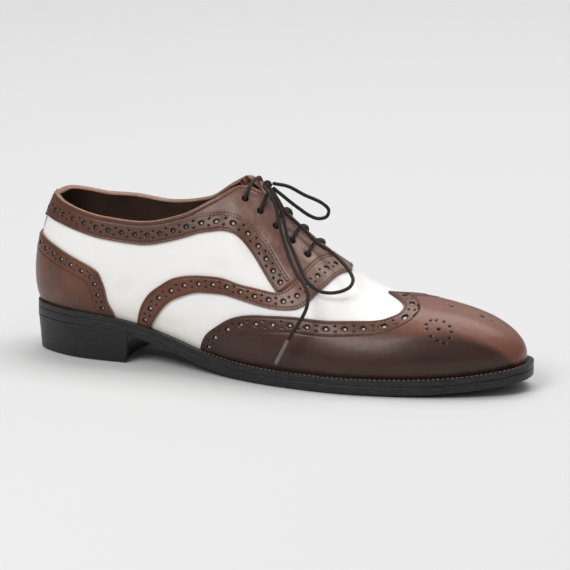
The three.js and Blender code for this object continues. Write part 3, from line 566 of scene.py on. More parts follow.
def laceKnot(radius):
    # A wrap round the middle and two strands that cross under it
    spin = np.linspace(0, 2 * np.pi, knotLook["wrapSteps"])
    halfX, halfY, halfZ = knotLook["wrap"]
    place = np.array(knotLook["place"])
    wrap = place + np.stack([halfX * np.cos(spin), halfY * np.cos(spin), halfZ * np.sin(spin)], -1)
    strands = [roundedRoute(place + np.array(knotLook[name]), 16) for name in ("over", "under")]
    parts = []
    for centre in (wrap, *strands):
        points, quads, uv = tube(centre, radius * knotLook["thickness"], 12, hint=(0.2, 1.0, 0.1))
        parts.append((points, quads, {"along": uv[:, 0], "around": uv[:, 1]}))
    points, quads, fields = joinParts(parts)
    uv = np.stack([fields["along"], fields["around"]], -1)
    knot = makePiece("laceKnot", points, quads, waxedLace, uv=uv)
    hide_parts("lace_knot")


laceRadius = freeLace()
laceKnot(laceRadius)
print("loose lace made")

# Leathers: how the punched, stitched and cut places of every panel are read by the materials
leatherLook = {
    "brown": rgb(98, 59, 42), "brownDeep": rgb(82, 48, 34), "brownLight": rgb(112, 69, 49),
    "warm": rgb(124, 74, 57), "haze": rgb(142, 112, 102),
    "burnishInkAndShadeBrown": rgb(50, 28, 21), "rawEdge": rgb(122, 84, 64), "holeFloor": rgb(214, 196, 170),
    "holeShade": rgb(22, 13, 11), "white": rgb(246, 245, 243), "creamShade": rgb(228, 222, 206),
    "lining": rgb(80, 58, 46), "liningDeep": rgb(58, 41, 33),
    "threadTan": rgb(116, 80, 62), "threadBrown": rgb(66, 41, 32),
    "threadGrey": rgb(150, 147, 142), "threadDark": rgb(70, 69, 68),
    "edgeDark": rgb(122, 84, 63), "edgeLight": rgb(160, 117, 92),
}


def brownMaterial(name, edgeColour):
    # Mottled browns where the fields say so: a warmer tone, a painted lit top on the toe, a painted sheen,
    # and darkening that is partly burnish and partly painted shade; painted shade in the grooves and round
    # the holes; the big holes have cream floors inside painted dark rims, and the small ones are painted
    # dark as shade
    material, tree, surface = startMaterial(name, Roughness=0.36, Coat_Weight=0.25, Coat_Roughness=0.24)
    surface.inputs["Specular IOR Level"].default_value = 0.32
    cloud = fade(tree, grain(tree, 38.0, 4.0, 0.55), 0.32, 0.7)
    base = blendColour(tree, cloud, leatherLook["brownDeep"], leatherLook["brownLight"])
    fine = fade(tree, grain(tree, 420.0, 2.0), 0.3, 0.75)
    base = blendColour(tree, calculate(tree, "MULTIPLY", fine, 0.35), base, leatherLook["brown"])
    # A warmer tone where the field says so. On the toe's top above the ridge this is a painted lit colour,
    # as light from above.
    base = blendColour(tree, field(tree, "warm"), base, leatherLook["warm"])
    # Painted sheen: a streaky pinkish-grey highlight, laid where the field says so
    streaks = fade(tree, grain(tree, 150.0, 4.0, 0.65, (1.0, 1.0, 0.4)), 0.36, 0.66)
    streaky = calculate(tree, "MULTIPLY_ADD", streaks, 0.65, 0.35)
    sheenShare = calculate(tree, "MULTIPLY", field(tree, "haze"), streaky)
    base = blendColour(tree, sheenShare, base, leatherLook["haze"])
    # Darker where the field says so: partly burnish and partly painted shade, with a little random
    # unevenness
    uneven = calculate(tree, "MULTIPLY", calculate(tree, "SUBTRACT", cloud, 0.5), 0.16)
    burnishAndShadeShare = calculate(tree, "ADD", field(tree, "burnish"), uneven, clamp=True)
    base = blendColour(tree, burnishAndShadeShare, base, leatherLook["burnishInkAndShadeBrown"])
    # Painted shade along the grooved inner line of the wing cap
    base = blendColour(tree, fade(tree, field(tree, "groove"), 0.0, 1.0), base, leatherLook["burnishInkAndShadeBrown"])
    big = field(tree, "bigHole")
    small = field(tree, "smallHole")
    # Painted shade in a ring round each hole, where the rim slopes down into it
    shadeRoundHoles = calculate(tree, "MAXIMUM", fade(tree, big, 1.1, 0.1), fade(tree, small, 0.8, 0.1))
    base = blendColour(tree, calculate(tree, "MULTIPLY", shadeRoundHoles, 0.55), base, leatherLook["burnishInkAndShadeBrown"])
    # Painted shade: a dark rim inside each big hole
    base = blendColour(tree, fade(tree, big, 0.16, -0.05), base, leatherLook["holeShade"])
    backing = calculate(tree, "MULTIPLY", fade(tree, big, -0.56, -0.74), field(tree, "backing"))
    base = blendColour(tree, backing, base, leatherLook["holeFloor"])
    # Painted shade: the small holes, and the eyelets that read as small holes, are painted dark
    base = blendColour(tree, fade(tree, small, 0.12, -0.1), base, leatherLook["holeShade"])
    base = blendColour(tree, fade(tree, field(tree, "cutEdge"), 0.26, 0.1), base, edgeColour)
    tree.links.new(base, surface.inputs["Base Color"])
    pebbles = fade(tree, cells(tree, 2300.0), 0.1, 0.75)
    wave = grain(tree, 260.0, 3.0)
    bump = relief(tree, pebbles, 0.000035)
    tree.links.new(relief(tree, wave, 0.00016, bump), surface.inputs["Normal"])
    punched = calculate(tree, "MAXIMUM", fade(tree, big, 0.1, -0.1), fade(tree, small, 0.1, -0.1))
    polish = calculate(tree, "MAXIMUM", calculate(tree, "MULTIPLY_ADD", fine, 0.1, 0.31), punched)
    tree.links.new(polish, surface.inputs["Roughness"])
    return material


def whiteMaterial():
    # Near white with cream painted in as shade in the low places and the creases, under a fine pebbled grain
    material, tree, surface = startMaterial("whiteLeather", Roughness=0.45, Coat_Weight=0.12,
                                            Coat_Roughness=0.3)
    cloud = fade(tree, grain(tree, 22.0, 3.0, 0.5), 0.3, 0.8)
    faint = calculate(tree, "MULTIPLY", cloud, 0.12)
    tone = calculate(tree, "ADD", faint, field(tree, "creaseAndSoleShade"), clamp=True)
    base = blendColour(tree, tone, leatherLook["white"], leatherLook["creamShade"])
    tree.links.new(base, surface.inputs["Base Color"])
    pebbles = fade(tree, cells(tree, 1900.0), 0.1, 0.8)
    bump = relief(tree, pebbles, 0.00004)
    tree.links.new(relief(tree, grain(tree, 180.0, 3.0), 0.00015, bump), surface.inputs["Normal"])
    return material


def liningMaterial():
    # Two close browns in soft patches, with pores
    material, tree, surface = startMaterial("liningLeather", Roughness=0.62, Coat_Weight=0.05)
    cloud = fade(tree, grain(tree, 60.0, 4.0, 0.6), 0.3, 0.75)
    base = blendColour(tree, cloud, leatherLook["liningDeep"], leatherLook["lining"])
    tree.links.new(base, surface.inputs["Base Color"])
    pores = fade(tree, cells(tree, 1500.0), 0.05, 0.6)
    tree.links.new(relief(tree, pores, 0.00006), surface.inputs["Normal"])
    return material


def rawEdgeMaterial():
    # Cut leather edge: tan with darker fibres along it
    material, tree, surface = startMaterial("cutLeatherEdge", Roughness=0.5, Coat_Weight=0.2)
    fibres = fade(tree, grain(tree, 700.0, 3.0, 0.6), 0.3, 0.75)
    tone = blendColour(tree, fibres, leatherLook["edgeDark"], leatherLook["edgeLight"])
    tree.links.new(tone, surface.inputs["Base Color"])
    tree.links.new(relief(tree, fibres, 0.00005), surface.inputs["Normal"])
    return material


def threadMaterial(name, colour, dark):
    # Twisted thread: a fine slanting wave over two tones
    material, tree, surface = startMaterial(name, Roughness=0.6)
    surface.inputs["Specular IOR Level"].default_value = 0.2
    twist = fade(tree, grain(tree, 2400.0, 2.0), 0.35, 0.65)
    tree.links.new(blendColour(tree, twist, dark, colour), surface.inputs["Base Color"])
    tree.links.new(relief(tree, twist, 0.00005), surface.inputs["Normal"])
    return material


def smoothStep(values, start, end):
    share = np.clip((values - start) / (end - start), 0, 1)
    return share * share * (3 - 2 * share)


def ribCurves(rows):
    # One smooth curve for each column of a rib table, over the rib's share of the way
    knots = np.linspace(0, 1, len(rows))
    return [smoothCurve(knots, values) for values in np.array(rows, float).T]


def onRibs(curves, rib, cross):
    # station = s0 + (s1 - s0) c + bow 4 c (1 - c), and the height in the same way
    fromStation, fromHeight, toStation, toHeight, bowStation, bowHeight = (curve(rib) for curve in curves)
    bow = 4 * cross * (1 - cross)
    station = fromStation + (toStation - fromStation) * cross + bowStation * bow
    height = fromHeight + (toHeight - fromHeight) * cross + bowHeight * bow
    return np.clip(station, 0, 1), np.clip(height, 0, 1)


def evenRibs(curves, cross, step, multiple=1):
    # Rib shares whose places at one cross share are a step apart on the last
    dense = np.linspace(0, 1, 700)
    station, height = onRibs(curves, dense, np.full(700, float(cross)))
    lengths = pathLengths(lastPoint(station, height, -1.0))
    count = multiple * int(round(lengths[-1] / step / multiple))
    return np.interp(np.linspace(0, lengths[-1], count + 1), lengths, dense)


def crossShares(curves, ribs, distances, rest=0):
    # Cross shares at set lengths along every rib, then even steps over what is left of it
    dense = np.linspace(0, 1, 180)
    station, height = onRibs(curves, ribs[:, None], dense[None])
    steps = np.linalg.norm(np.diff(lastPoint(station, height, -1.0), axis=1), axis=-1)
    lengths = np.concatenate([np.zeros((len(ribs), 1)), np.cumsum(steps, axis=1)], axis=1)
    wanted = np.broadcast_to(np.asarray(distances, float), (len(ribs), len(distances)))
    if rest:
        left = lengths[:, -1:] - wanted[:, -1:]
        more = wanted[:, -1:] + left * np.linspace(0, 1, rest + 1)[None, 1:]
        wanted = np.concatenate([wanted, more], axis=1)
    index = np.clip((lengths[:, None, :] <= wanted[:, :, None]).sum(-1) - 1, 0, len(dense) - 2)
    low = np.take_along_axis(lengths, index, 1)
    high = np.take_along_axis(lengths, index + 1, 1)
    share = (wanted - low) / np.maximum(high - low, 1e-9)
    return np.clip(dense[index] + share * dense[1], 0, 1)


def mirroredGrid(station, height, axis=0):
    # The lateral grid, then the medial one back from their shared line
    backwards = (slice(None, -1),) if axis == 0 else (slice(None), slice(None, -1))
    flip = lambda values: np.flip(values[backwards] if axis == 1 else values[:-1], axis)
    both = [np.concatenate([values, flip(values)], axis) for values in (station, height)]
    side = np.concatenate([np.full(station.shape, -1.0), np.full(flip(station).shape, 1.0)], axis)
    return both[0], both[1], side


def nearestOnPath(points, path):
    # The length along the path of the nearest place, and the distance to it
    shape = points.shape[:-1]
    flat = points.reshape(-1, 3)
    lengths = pathLengths(path)
    tangent = unit(np.gradient(path, axis=0))
    squares = (path ** 2).sum(1)
    nearest = np.concatenate([(squares - 2 * part @ path.T).argmin(1)
                              for part in np.array_split(flat, max(1, len(flat) // 4000))])
    offset = flat - path[nearest]
    step = lengths[-1] / (len(path) - 1)
    along = (offset * tangent[nearest]).sum(1)
    square = np.maximum((offset ** 2).sum(1) - np.clip(along, -step, step) ** 2, 0)
    return (lengths[nearest] + np.clip(along, -step, step)).reshape(shape), np.sqrt(square).reshape(shape)


def edgePath(station, height, side, step=0.25):
    # The panel's edge as evenly spaced points on the last
    points = lastPoint(station, height, side)
    keep = np.concatenate([[True], np.linalg.norm(np.diff(points, axis=0), axis=1) > 1e-6])
    points = points[keep]
    return resample(points, np.arange(0, pathLengths(points)[-1], step))


def punchedRow(arc, distance, row):
    # Big holes stand a pitch apart on the row's line, and a pair of small ones between every two
    count = max(1, int(round((row["end"] - row["start"]) / row["pitch"])))
    pitch = (row["end"] - row["start"]) / count
    along = (arc - row["start"]) / pitch
    across = distance - row["centre"]
    whole = np.clip(np.round(along), 0, count)
    half = np.clip(np.floor(along), 0, count - 1) + 0.5
    big = np.hypot((along - whole) * pitch, across) - row["bigRadius"]
    lean = row["lean"] * np.sign(across)
    small = np.hypot((along - half) * pitch - lean, np.abs(across) - row["spread"]) - row["smallRadius"]
    return big, small


# What all panels share, in mm: punched holes, the rounded cut edge and the rings that stand round it
farFromHoles = 9.0
panelLook = {"punchDepth": 1.15, "smallDepth": 0.6, "punchRim": 0.45, "edgeDrop": 0.3, "edgeReach": 0.6,
             "ringDrop": 0.5, "ringGap": 0.02}


def punchRelief(big, small):
    # Pits with sloping rims; the small ones are shallower
    rim = panelLook["punchRim"]
    deep = panelLook["punchDepth"] * smoothStep(big, 0.1, -rim)
    shallow = panelLook["smallDepth"] * panelLook["punchDepth"] * smoothStep(small, 0.12, -rim * 0.7)
    return -np.maximum(deep, shallow)


def edgeRounding(distance):
    # -drop (1 - distance / reach)^2 beside the cut edge
    return -panelLook["edgeDrop"] * (1 - np.clip(distance / panelLook["edgeReach"], 0, 1)) ** 2


def lineGroove(distance, line, depth=0.2, reach=0.5):
    # -depth exp(-((distance - line) / reach)^2)
    return -depth * np.exp(-((distance - line) / reach) ** 2)


def panelFields(big, small, distance, **shades):
    # What the brown leather reads at every point; a shade that isn't given is 0
    fields = {"bigHole": big, "smallHole": small, "cutEdge": distance}
    for name in ("groove", "burnish", "warm", "haze", "backing"):
        fields[name] = shades.get(name, 0.0) + 0 * distance
    return fields


def ringNumbers(count, before, after):
    # 0 on the panel, 1 and 2 on the rings that stand before and after it
    return np.concatenate([np.arange(before, 0, -1), np.zeros(count, int), np.arange(1, after + 1)])


def panelPart(station, height, side, rise, fields, skirts):
    # Surface at last + n rise, with two rings round the cut edges that stand down on the white leather
    rings = np.maximum(ringNumbers(station.shape[0], *skirts[0])[:, None],
                       ringNumbers(station.shape[1], *skirts[1])[None])
    padded = [np.pad(values, skirts, mode="edge") for values in (station, height, side, rise)]
    foot = upperOuter + panelLook["ringGap"]
    rise = np.where(rings == 0, padded[3], np.where(rings == 1, -panelLook["ringDrop"], foot))
    points, normals = offLast(padded[0], padded[1], padded[2], rise)
    spread = {name: np.pad(values, skirts, mode="edge").ravel() for name, values in fields.items()}
    spread["cutEdge"] = np.where(rings.ravel() > 0, -1.0, spread["cutEdge"])
    quads = gridQuads(*points.shape[:2])
    flat = points.reshape(-1, 3)
    return flat, facedOut(flat, quads, normals.reshape(-1, 3)), spread


def lineBeside(path, distance, points, normals):
    # The path moved inwards by a distance and laid on the panel; places that fold back are dropped
    surface, outward = points.reshape(-1, 3), normals.reshape(-1, 3)
    squares = (surface ** 2).sum(1)
    closest = lambda spots: np.concatenate([(squares - 2 * part @ surface.T).argmin(1)
                                            for part in np.array_split(spots, max(1, len(spots) // 200))])
    middle = surface.mean(0)
    near = closest(path)
    inward = unit(np.cross(outward[near], unit(np.gradient(path, axis=0))))
    trial = closest(path + inward * distance)
    missed = np.linalg.norm(surface[trial] - (path + inward * distance), axis=1).mean()
    if missed > 0.3 * distance:
        inward = -inward
    spots = path + inward * distance
    for _ in range(2):
        near = closest(spots)
        lift = ((spots - surface[near]) * outward[near]).sum(1, keepdims=True)
        spots = spots - lift * outward[near]
    _, apart = nearestOnPath(spots, path)
    keep = apart > distance * 0.93
    return spots[keep], outward[near][keep]


def stitchPart(line, normals, look):
    # Rounded bars: place + along t + across s + up n, one every pitch along the line
    lengths = pathLengths(line)
    places = np.arange(look["pitch"] / 2, lengths[-1], look["pitch"])
    spots = resample(line, places)
    ups = unit(np.stack([np.interp(places, lengths, normals[:, axis]) for axis in range(3)], -1))
    index = np.clip(np.searchsorted(lengths, places), 1, len(line) - 1)
    gap = np.linalg.norm(line[index] - line[index - 1], axis=1)
    alongs = unit(line[index] - line[index - 1])
    keep = gap < look["pitch"] * 2
    spots, ups, alongs = spots[keep], ups[keep], alongs[keep]
    sideways = unit(np.cross(alongs, ups))
    rings, sides = 5, 6
    angle = np.linspace(-np.pi / 2, np.pi / 2, rings)
    around = np.linspace(0, 2 * np.pi, sides, endpoint=False)
    profile = np.abs(np.cos(angle)) ** 0.6 * look["thick"] / 2 + 0.005
    template = np.stack([
        np.repeat(np.sin(angle) * look["long"] / 2, sides),
        (profile[:, None] * np.cos(around)[None]).ravel(),
        (profile[:, None] * np.sin(around)[None]).ravel() * 0.8 + look["rise"],
    ], -1)
    points = spots[:, None] + template[None, :, :1] * alongs[:, None] \
        + template[None, :, 1:2] * sideways[:, None] + template[None, :, 2:] * ups[:, None]
    quads = gridQuads(rings, sides, closed=True)
    bars = (quads[None] + rings * sides * np.arange(len(spots))[:, None, None]).reshape(-1, 4)
    outward = points - spots[:, None]
    flat = points.reshape(-1, 3)
    return flat, facedOut(flat, bars, outward.reshape(-1, 3)), {}


def stitchPiece(name, lines, material, look):
    # The stitches of several lines as one piece; what is left of a line may be too short for any
    parts = [stitchPart(line, normals, look) for line, normals in lines if len(line) > 4]
    points, quads, _ = joinParts(parts)
    piece = makePiece(name, points, quads, material)


stitchLook = {"pitch": 2.1, "long": 1.6, "thick": 0.5, "rise": 0.02}
brownLeather = brownMaterial("brownLeather", leatherLook["rawEdge"])
inkedLeather = brownMaterial("brownLeatherInkedEdge", leatherLook["burnishInkAndShadeBrown"])
whiteLeather = whiteMaterial()
liningLeather = liningMaterial()
rawEdge = rawEdgeMaterial()
brownThread = threadMaterial("brownThread", leatherLook["threadTan"], leatherLook["threadBrown"])

# Wing cap: punched border along the cut edge, then the plain toe with its medallion
wingLook = {
    "ribs": [
        [0.383, 0, 1, 0, 0, 0], [0.388, 0.08, 1, 0.05, 0, 0], [0.4, 0.164, 1, 0.09, 0, 0],
        [0.421, 0.225, 1, 0.13, 0, 0], [0.45, 0.275, 1, 0.17, 0, 0], [0.492, 0.312, 1, 0.22, 0, 0],
        [0.533, 0.35, 1, 0.28, 0, 0], [0.58, 0.4, 1, 0.34, 0, 0], [0.629, 0.455, 1, 0.4, 0, 0],
        [0.683, 0.55, 1, 0.47, 0, 0], [0.717, 0.61, 1, 0.54, 0, 0], [0.735, 0.665, 1, 0.61, 0, 0],
        [0.746, 0.715, 1, 0.68, 0, 0], [0.7505, 0.775, 1, 0.75, 0, 0], [0.7485, 0.835, 1, 0.82, 0, 0],
        [0.7385, 0.895, 1, 0.89, 0, 0], [0.724, 0.948, 1, 0.95, 0, 0], [0.706, 1, 1, 1, 0, 0]],
    "edgeStep": 0.45, "border": 9.8, "borderStep": 0.42, "toeSteps": 130,
    "row": {"pitch": 10.6, "centre": 5.2, "bigRadius": 1.5, "smallRadius": 0.62, "spread": 1.75,
            "lean": 0.2},
    "rowStart": 5.0, "rowEnd": 9.0, "edgeLine": 1.5,
    "innerLine": 9.3, "innerDepth": 0.28, "innerReach": 0.55, "lineShade": 0.55, "lineReach": 0.6,
    "rosette": {"x": 252.5, "out": 26.4, "ringX": 1.15 * 6.5, "ringY": 0.8 * 6.5, "count": 11,
                "holeRadius": 0.85, "middleRadius": 1.15},
    "centreHoles": [[246, 0.7], [251.5, 1.3], [257, 0.6], [270.5, 1.3], [277, 0.6]], "centreShift": -2.2,
    "ridge": [[0.7, 0.42], [0.76, 0.455], [0.786, 0.495], [0.804, 0.515], [0.84, 0.54], [0.867, 0.535],
              [0.89, 0.51], [0.914, 0.441], [0.937, 0.332], [0.954, 0.183], [0.97, 0.05], [1.0, 0.0]],
    "ridgeRise": 0.5, "ridgeReach": 5.0, "ridgeEnd": (0.02, 0.07), "heightToMm": 60,
    "toeStations": (0.72, 0.8), "sideBurnishAndShade": 0.92, "burnishAndShadeFade": (-5.0, 2.0),
    "borderBurnishAndShade": (0.1, 0.62), "toeTopLight": 0.75, "topLightFade": (-3.0, 8.0),
}


def wingCap():
    # A fine grid along the punched border and a coarser one from there over the toe, both mirrored
    curves = ribCurves(wingLook["ribs"])
    ribs = evenRibs(curves, 0.0, wingLook["edgeStep"], multiple=3)
    near = np.concatenate([[0, 0.25, 0.55], np.arange(0.95, wingLook["border"], wingLook["borderStep"])])
    near = np.append(near, wingLook["border"])
    border = mirroredGrid(*onRibs(curves, ribs[:, None], crossShares(curves, ribs, near)))
    fewRibs = ribs[::3]
    farShares = crossShares(curves, fewRibs, [wingLook["border"]], wingLook["toeSteps"])
    toe = mirroredGrid(*onRibs(curves, fewRibs[:, None], farShares))
    edge = edgePath(*(part[:, 0] for part in border))
    total = pathLengths(edge)[-1]
    row = dict(wingLook["row"], start=wingLook["rowStart"], end=total / 2 - wingLook["rowEnd"])
    parts = []
    for station, height, side in (border, toe):
        places = lastPoint(station, height, side)
        arc, distance = nearestOnPath(places, edge)
        big, small = punchedRow(np.minimum(arc, total - arc), distance, row)
        small = np.minimum(small, medallion(places))
        onToe, fromRidge, onSide = toeShading(station, height)
        inner = wingLook["innerLine"]
        rise = punchRelief(big, small) + edgeRounding(distance)
        rise += lineGroove(distance, wingLook["edgeLine"])
        rise += lineGroove(distance, inner, wingLook["innerDepth"], wingLook["innerReach"])
        rise += wingLook["ridgeRise"] * onToe * smoothStep(1 - station, *wingLook["ridgeEnd"]) \
            * np.exp(-(fromRidge / wingLook["ridgeReach"]) ** 2)
        # The side below the toe's ridge and the low border are darkened, partly burnish and partly painted
        # shade. The toe's top above the ridge gets a painted lit colour, as light from above. The inner
        # line's groove gets painted shade.
        fields = panelFields(
            big, small, distance, burnish=wingLook["sideBurnishAndShade"] * onSide, backing=1.0,
            groove=-lineGroove(distance, inner, wingLook["lineShade"], wingLook["lineReach"]),
            warm=wingLook["toeTopLight"] * smoothStep(fromRidge, *wingLook["topLightFade"]) * onToe)
        skirt = ((0, 0), (2, 0)) if station is border[0] else ((0, 0), (0, 0))
        parts.append(panelPart(station, height, side, rise, fields, skirt))
    points, quads, fields = joinParts(parts)
    piece = makePiece("wingCapLeather", points, quads, inkedLeather, fields, weld=2e-6)
    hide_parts("wing_cap")
    surface, normals = offLast(*border, 0.0 * border[0])
    coarse = edge[::3]
    lines = [lineBeside(coarse, line, surface[::2], normals[::2])
             for line in (wingLook["edgeLine"], wingLook["innerLine"])]
    stitchPiece("wingCapStitches", lines, brownThread, stitchLook)


def toeShading(station, height):
    # How far a place is on the toe, its mm above the toe's ridge, and its share of the darker side below,
    # which is partly burnish and partly painted shade
    ridgeStations, ridgeHeights = np.array(wingLook["ridge"]).T
    onToe = smoothStep(station, *wingLook["toeStations"])
    fromRidge = (height - np.interp(station, ridgeStations, ridgeHeights)) * wingLook["heightToMm"]
    onSide = (1 - onToe) * (1 - smoothStep(height, *wingLook["borderBurnishAndShade"])) \
        + onToe * (1 - smoothStep(fromRidge, *wingLook["burnishAndShadeFade"]))
    return onToe, fromRidge, onSide


def medallion(places):
    # The least of |place - hole| - radius over the rosettes' and the centre line's holes
    look = wingLook["rosette"]
    spin = 2 * np.pi * (np.arange(look["count"]) + 0.5) / look["count"]
    shift = wingLook["centreShift"]
    spots = [[x, float(centreLine(x)) + shift, radius] for x, radius in wingLook["centreHoles"]]
    for side in (-1, 1):
        middle = float(centreLine(look["x"])) + side * look["out"]
        spots.append([look["x"], middle, look["middleRadius"]])
        spots += [[look["x"] + look["ringX"] * np.cos(a), middle + look["ringY"] * np.sin(a),
                   look["holeRadius"]] for a in spin]
    flat = places.reshape(-1, 3)
    nearest = np.full(len(flat), np.inf)
    for x, y, radius in spots:
        centre = flat[((flat[:, :2] - [x, y]) ** 2).sum(1).argmin()]
        nearest = np.minimum(nearest, np.linalg.norm(flat - centre, axis=1) - radius)
    return nearest.reshape(places.shape[:-1])


wingCap()
print("wing cap made")

# Counter: the cup round the heel, punched along its top and front edges
counterLook = {
    "ribs": [
        [0, 0, 0.217, 0, 0, 0], [0, 0.1, 0.211, 0.1, 0, 0], [0, 0.197, 0.204, 0.207, 0, 0],
        [0, 0.303, 0.2, 0.332, 0, 0], [0, 0.408, 0.192, 0.448, 0, 0.005], [0, 0.534, 0.183, 0.515, 0, 0.02],
        [0, 0.678, 0.163, 0.561, 0, 0.03]],
    "ribSteps": 84, "crossSteps": 130,
    "row": {"pitch": 8.0, "centre": 4.9, "bigRadius": 1.3, "smallRadius": 0.55, "spread": 1.6, "lean": 0.2},
    "rowStart": 8.0, "edgeLine": 1.4, "innerLine": 9.0, "innerDepth": 0.25,
    "burnish": 0.55, "burnishTop": 0.2, "backing": 0.85,
}


def counter():
    # One grid round the heel, from the lateral front edge to the medial one
    curves = ribCurves(counterLook["ribs"])
    ribs = np.linspace(0, 1, counterLook["ribSteps"] + 1)
    cross = np.linspace(1, 0, counterLook["crossSteps"] + 1)
    grid = mirroredGrid(*onRibs(curves, ribs[:, None], cross[None]), axis=1)
    outline = [np.concatenate([part[:, 0], part[-1, 1:], part[-2::-1, -1]]) for part in grid]
    edge = edgePath(*outline)
    total = pathLengths(edge)[-1]
    places = lastPoint(*grid)
    arc, distance = nearestOnPath(places, edge)
    row = dict(counterLook["row"], start=counterLook["rowStart"], end=total - counterLook["rowStart"])
    big, small = punchedRow(arc, distance, row)
    rise = punchRelief(big, small) + edgeRounding(distance)
    rise += lineGroove(distance, counterLook["edgeLine"]) \
        + lineGroove(distance, counterLook["innerLine"], counterLook["innerDepth"])
    nearSole = 1 - smoothStep(grid[1], 0.0, counterLook["burnishTop"])
    fields = panelFields(big, small, distance, burnish=counterLook["burnish"] * nearSole,
                         backing=counterLook["backing"])
    points, quads, fields = panelPart(*grid, rise, fields, ((0, 2), (2, 2)))
    piece = makePiece("counterLeather", points, quads, brownLeather, fields, weld=2e-6)
    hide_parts("counter")
    surface, normals = offLast(*grid, 0.0 * grid[0])
    lines = [lineBeside(edge[::3], line, surface, normals)
             for line in (counterLook["edgeLine"], counterLook["innerLine"])]
    stitchPiece("counterStitches", lines, brownThread, stitchLook)


# Collar and facing: one panel a side, punched along its lower edge, with the eyelets near the slit
collarLook = {
    "ribs": [
        [0.007, 0.775, 0.007, 1, 0, 0], [0.052, 0.82, 0.052, 1, 0, 0], [0.101, 0.834, 0.101, 1, 0, 0],
        [0.154, 0.825, 0.154, 1, 0, 0], [0.196, 0.813, 0.196, 1, 0, 0], [0.237, 0.81, 0.237, 1, 0, 0],
        [0.275, 0.81, 0.275, 1, 0, 0], [0.312, 0.82, 0.312, 1, 0, 0], [0.345, 0.822, 0.35, 1, 0, 0],
        [0.374, 0.8, 0.385, 1, 0, 0], [0.404, 0.75, 0.417, 1, 0, 0], [0.427, 0.699, 0.445, 1, 0, 0],
        [0.449, 0.657, 0.472, 1, 0, 0], [0.471, 0.607, 0.497, 1, 0, 0],
        [0.493, 0.556, 0.527, 1, 0.002, -0.015], [0.514, 0.511, 0.559, 1, 0.004, -0.028],
        [0.531, 0.477, 0.592, 1, 0.007, -0.06]],
    "edgeStep": 0.5, "crossSteps": 86,
    "row": {"pitch": 8.5, "centre": 5.6, "bigRadius": 1.4, "smallRadius": 0.62, "spread": 2.0, "lean": 0.25},
    "rowStart": 5.0, "rowEnd": 7.0, "edgeLine": 1.4, "topLine": 2.0, "facingLines": (9.4, 10.9),
    "topDepth": 0.25, "facingStations": (0.42, 0.45), "facingLineFrom": 0.55,
    "eyeletRadius": 1.75, "eyeletDepth": 2.7, "eyeletEdge": (0.25, -0.55),
    "dishDepth": 0.25, "dishReach": 1.4,
    "burnish": 0.3, "burnishStations": (0.3, 0.5), "haze": 0.85, "sheenStations": (0.4, 0.47),
    "sheenFade": (4.0, 12.0), "backing": (0.2, 0.7), "backingStations": (0.33, 0.4),
    # The front end goes on under the band: millimetres forward, and rise
    "tucks": [[0.4, 0.0], [0.8, -0.12], [1.2, -0.5], [1.6, -0.85], [2.4, -0.95], [3.4, -0.95]],
}
eyeletRows = [[0.571, 0.82], [0.542, 0.832], [0.511, 0.826], [0.479, 0.835], [0.449, 0.885]]
# Soft folds of the facings: from and to (station, height), depth in mm and reach in mm
facingFolds = [
    [0.43, 0.74, 0.475, 0.66, 0.5, 3.2], [0.47, 0.72, 0.53, 0.6, 0.35, 2.6],
    [0.385, 0.86, 0.43, 0.8, 0.45, 3.5], [0.44, 0.93, 0.468, 0.9, 0.3, 2.0],
]


def foldRelief(places, folds, side):
    # Troughs -depth exp(-(d / reach)^2) along short straight lines, with a low ridge on either side
    total = np.zeros(places.shape[:-1])
    for s0, h0, s1, h1, depth, reach in folds:
        ends = lastPoint(np.array([s0, s1]), np.array([h0, h1]), float(side))
        across = ends[1] - ends[0]
        share = np.clip(((places - ends[0]) @ across) / (across @ across), 0, 1)
        apart = np.linalg.norm(places - (ends[0] + share[..., None] * across), axis=-1) / reach
        fadeEnds = np.sin(np.pi * np.clip(share * 0.9 + 0.05, 0, 1))
        total -= depth * fadeEnds * (1 - 0.9 * apart ** 2) * np.exp(-apart ** 2)
    return total


def eyeletDistance(places, side):
    # The least of |place - eyelet| - radius
    rows = np.array(eyeletRows)
    centres = lastPoint(rows[:, 0], rows[:, 1], float(side))
    apart = np.linalg.norm(places[..., None, :] - centres, axis=-1)
    return apart.min(-1) - collarLook["eyeletRadius"]


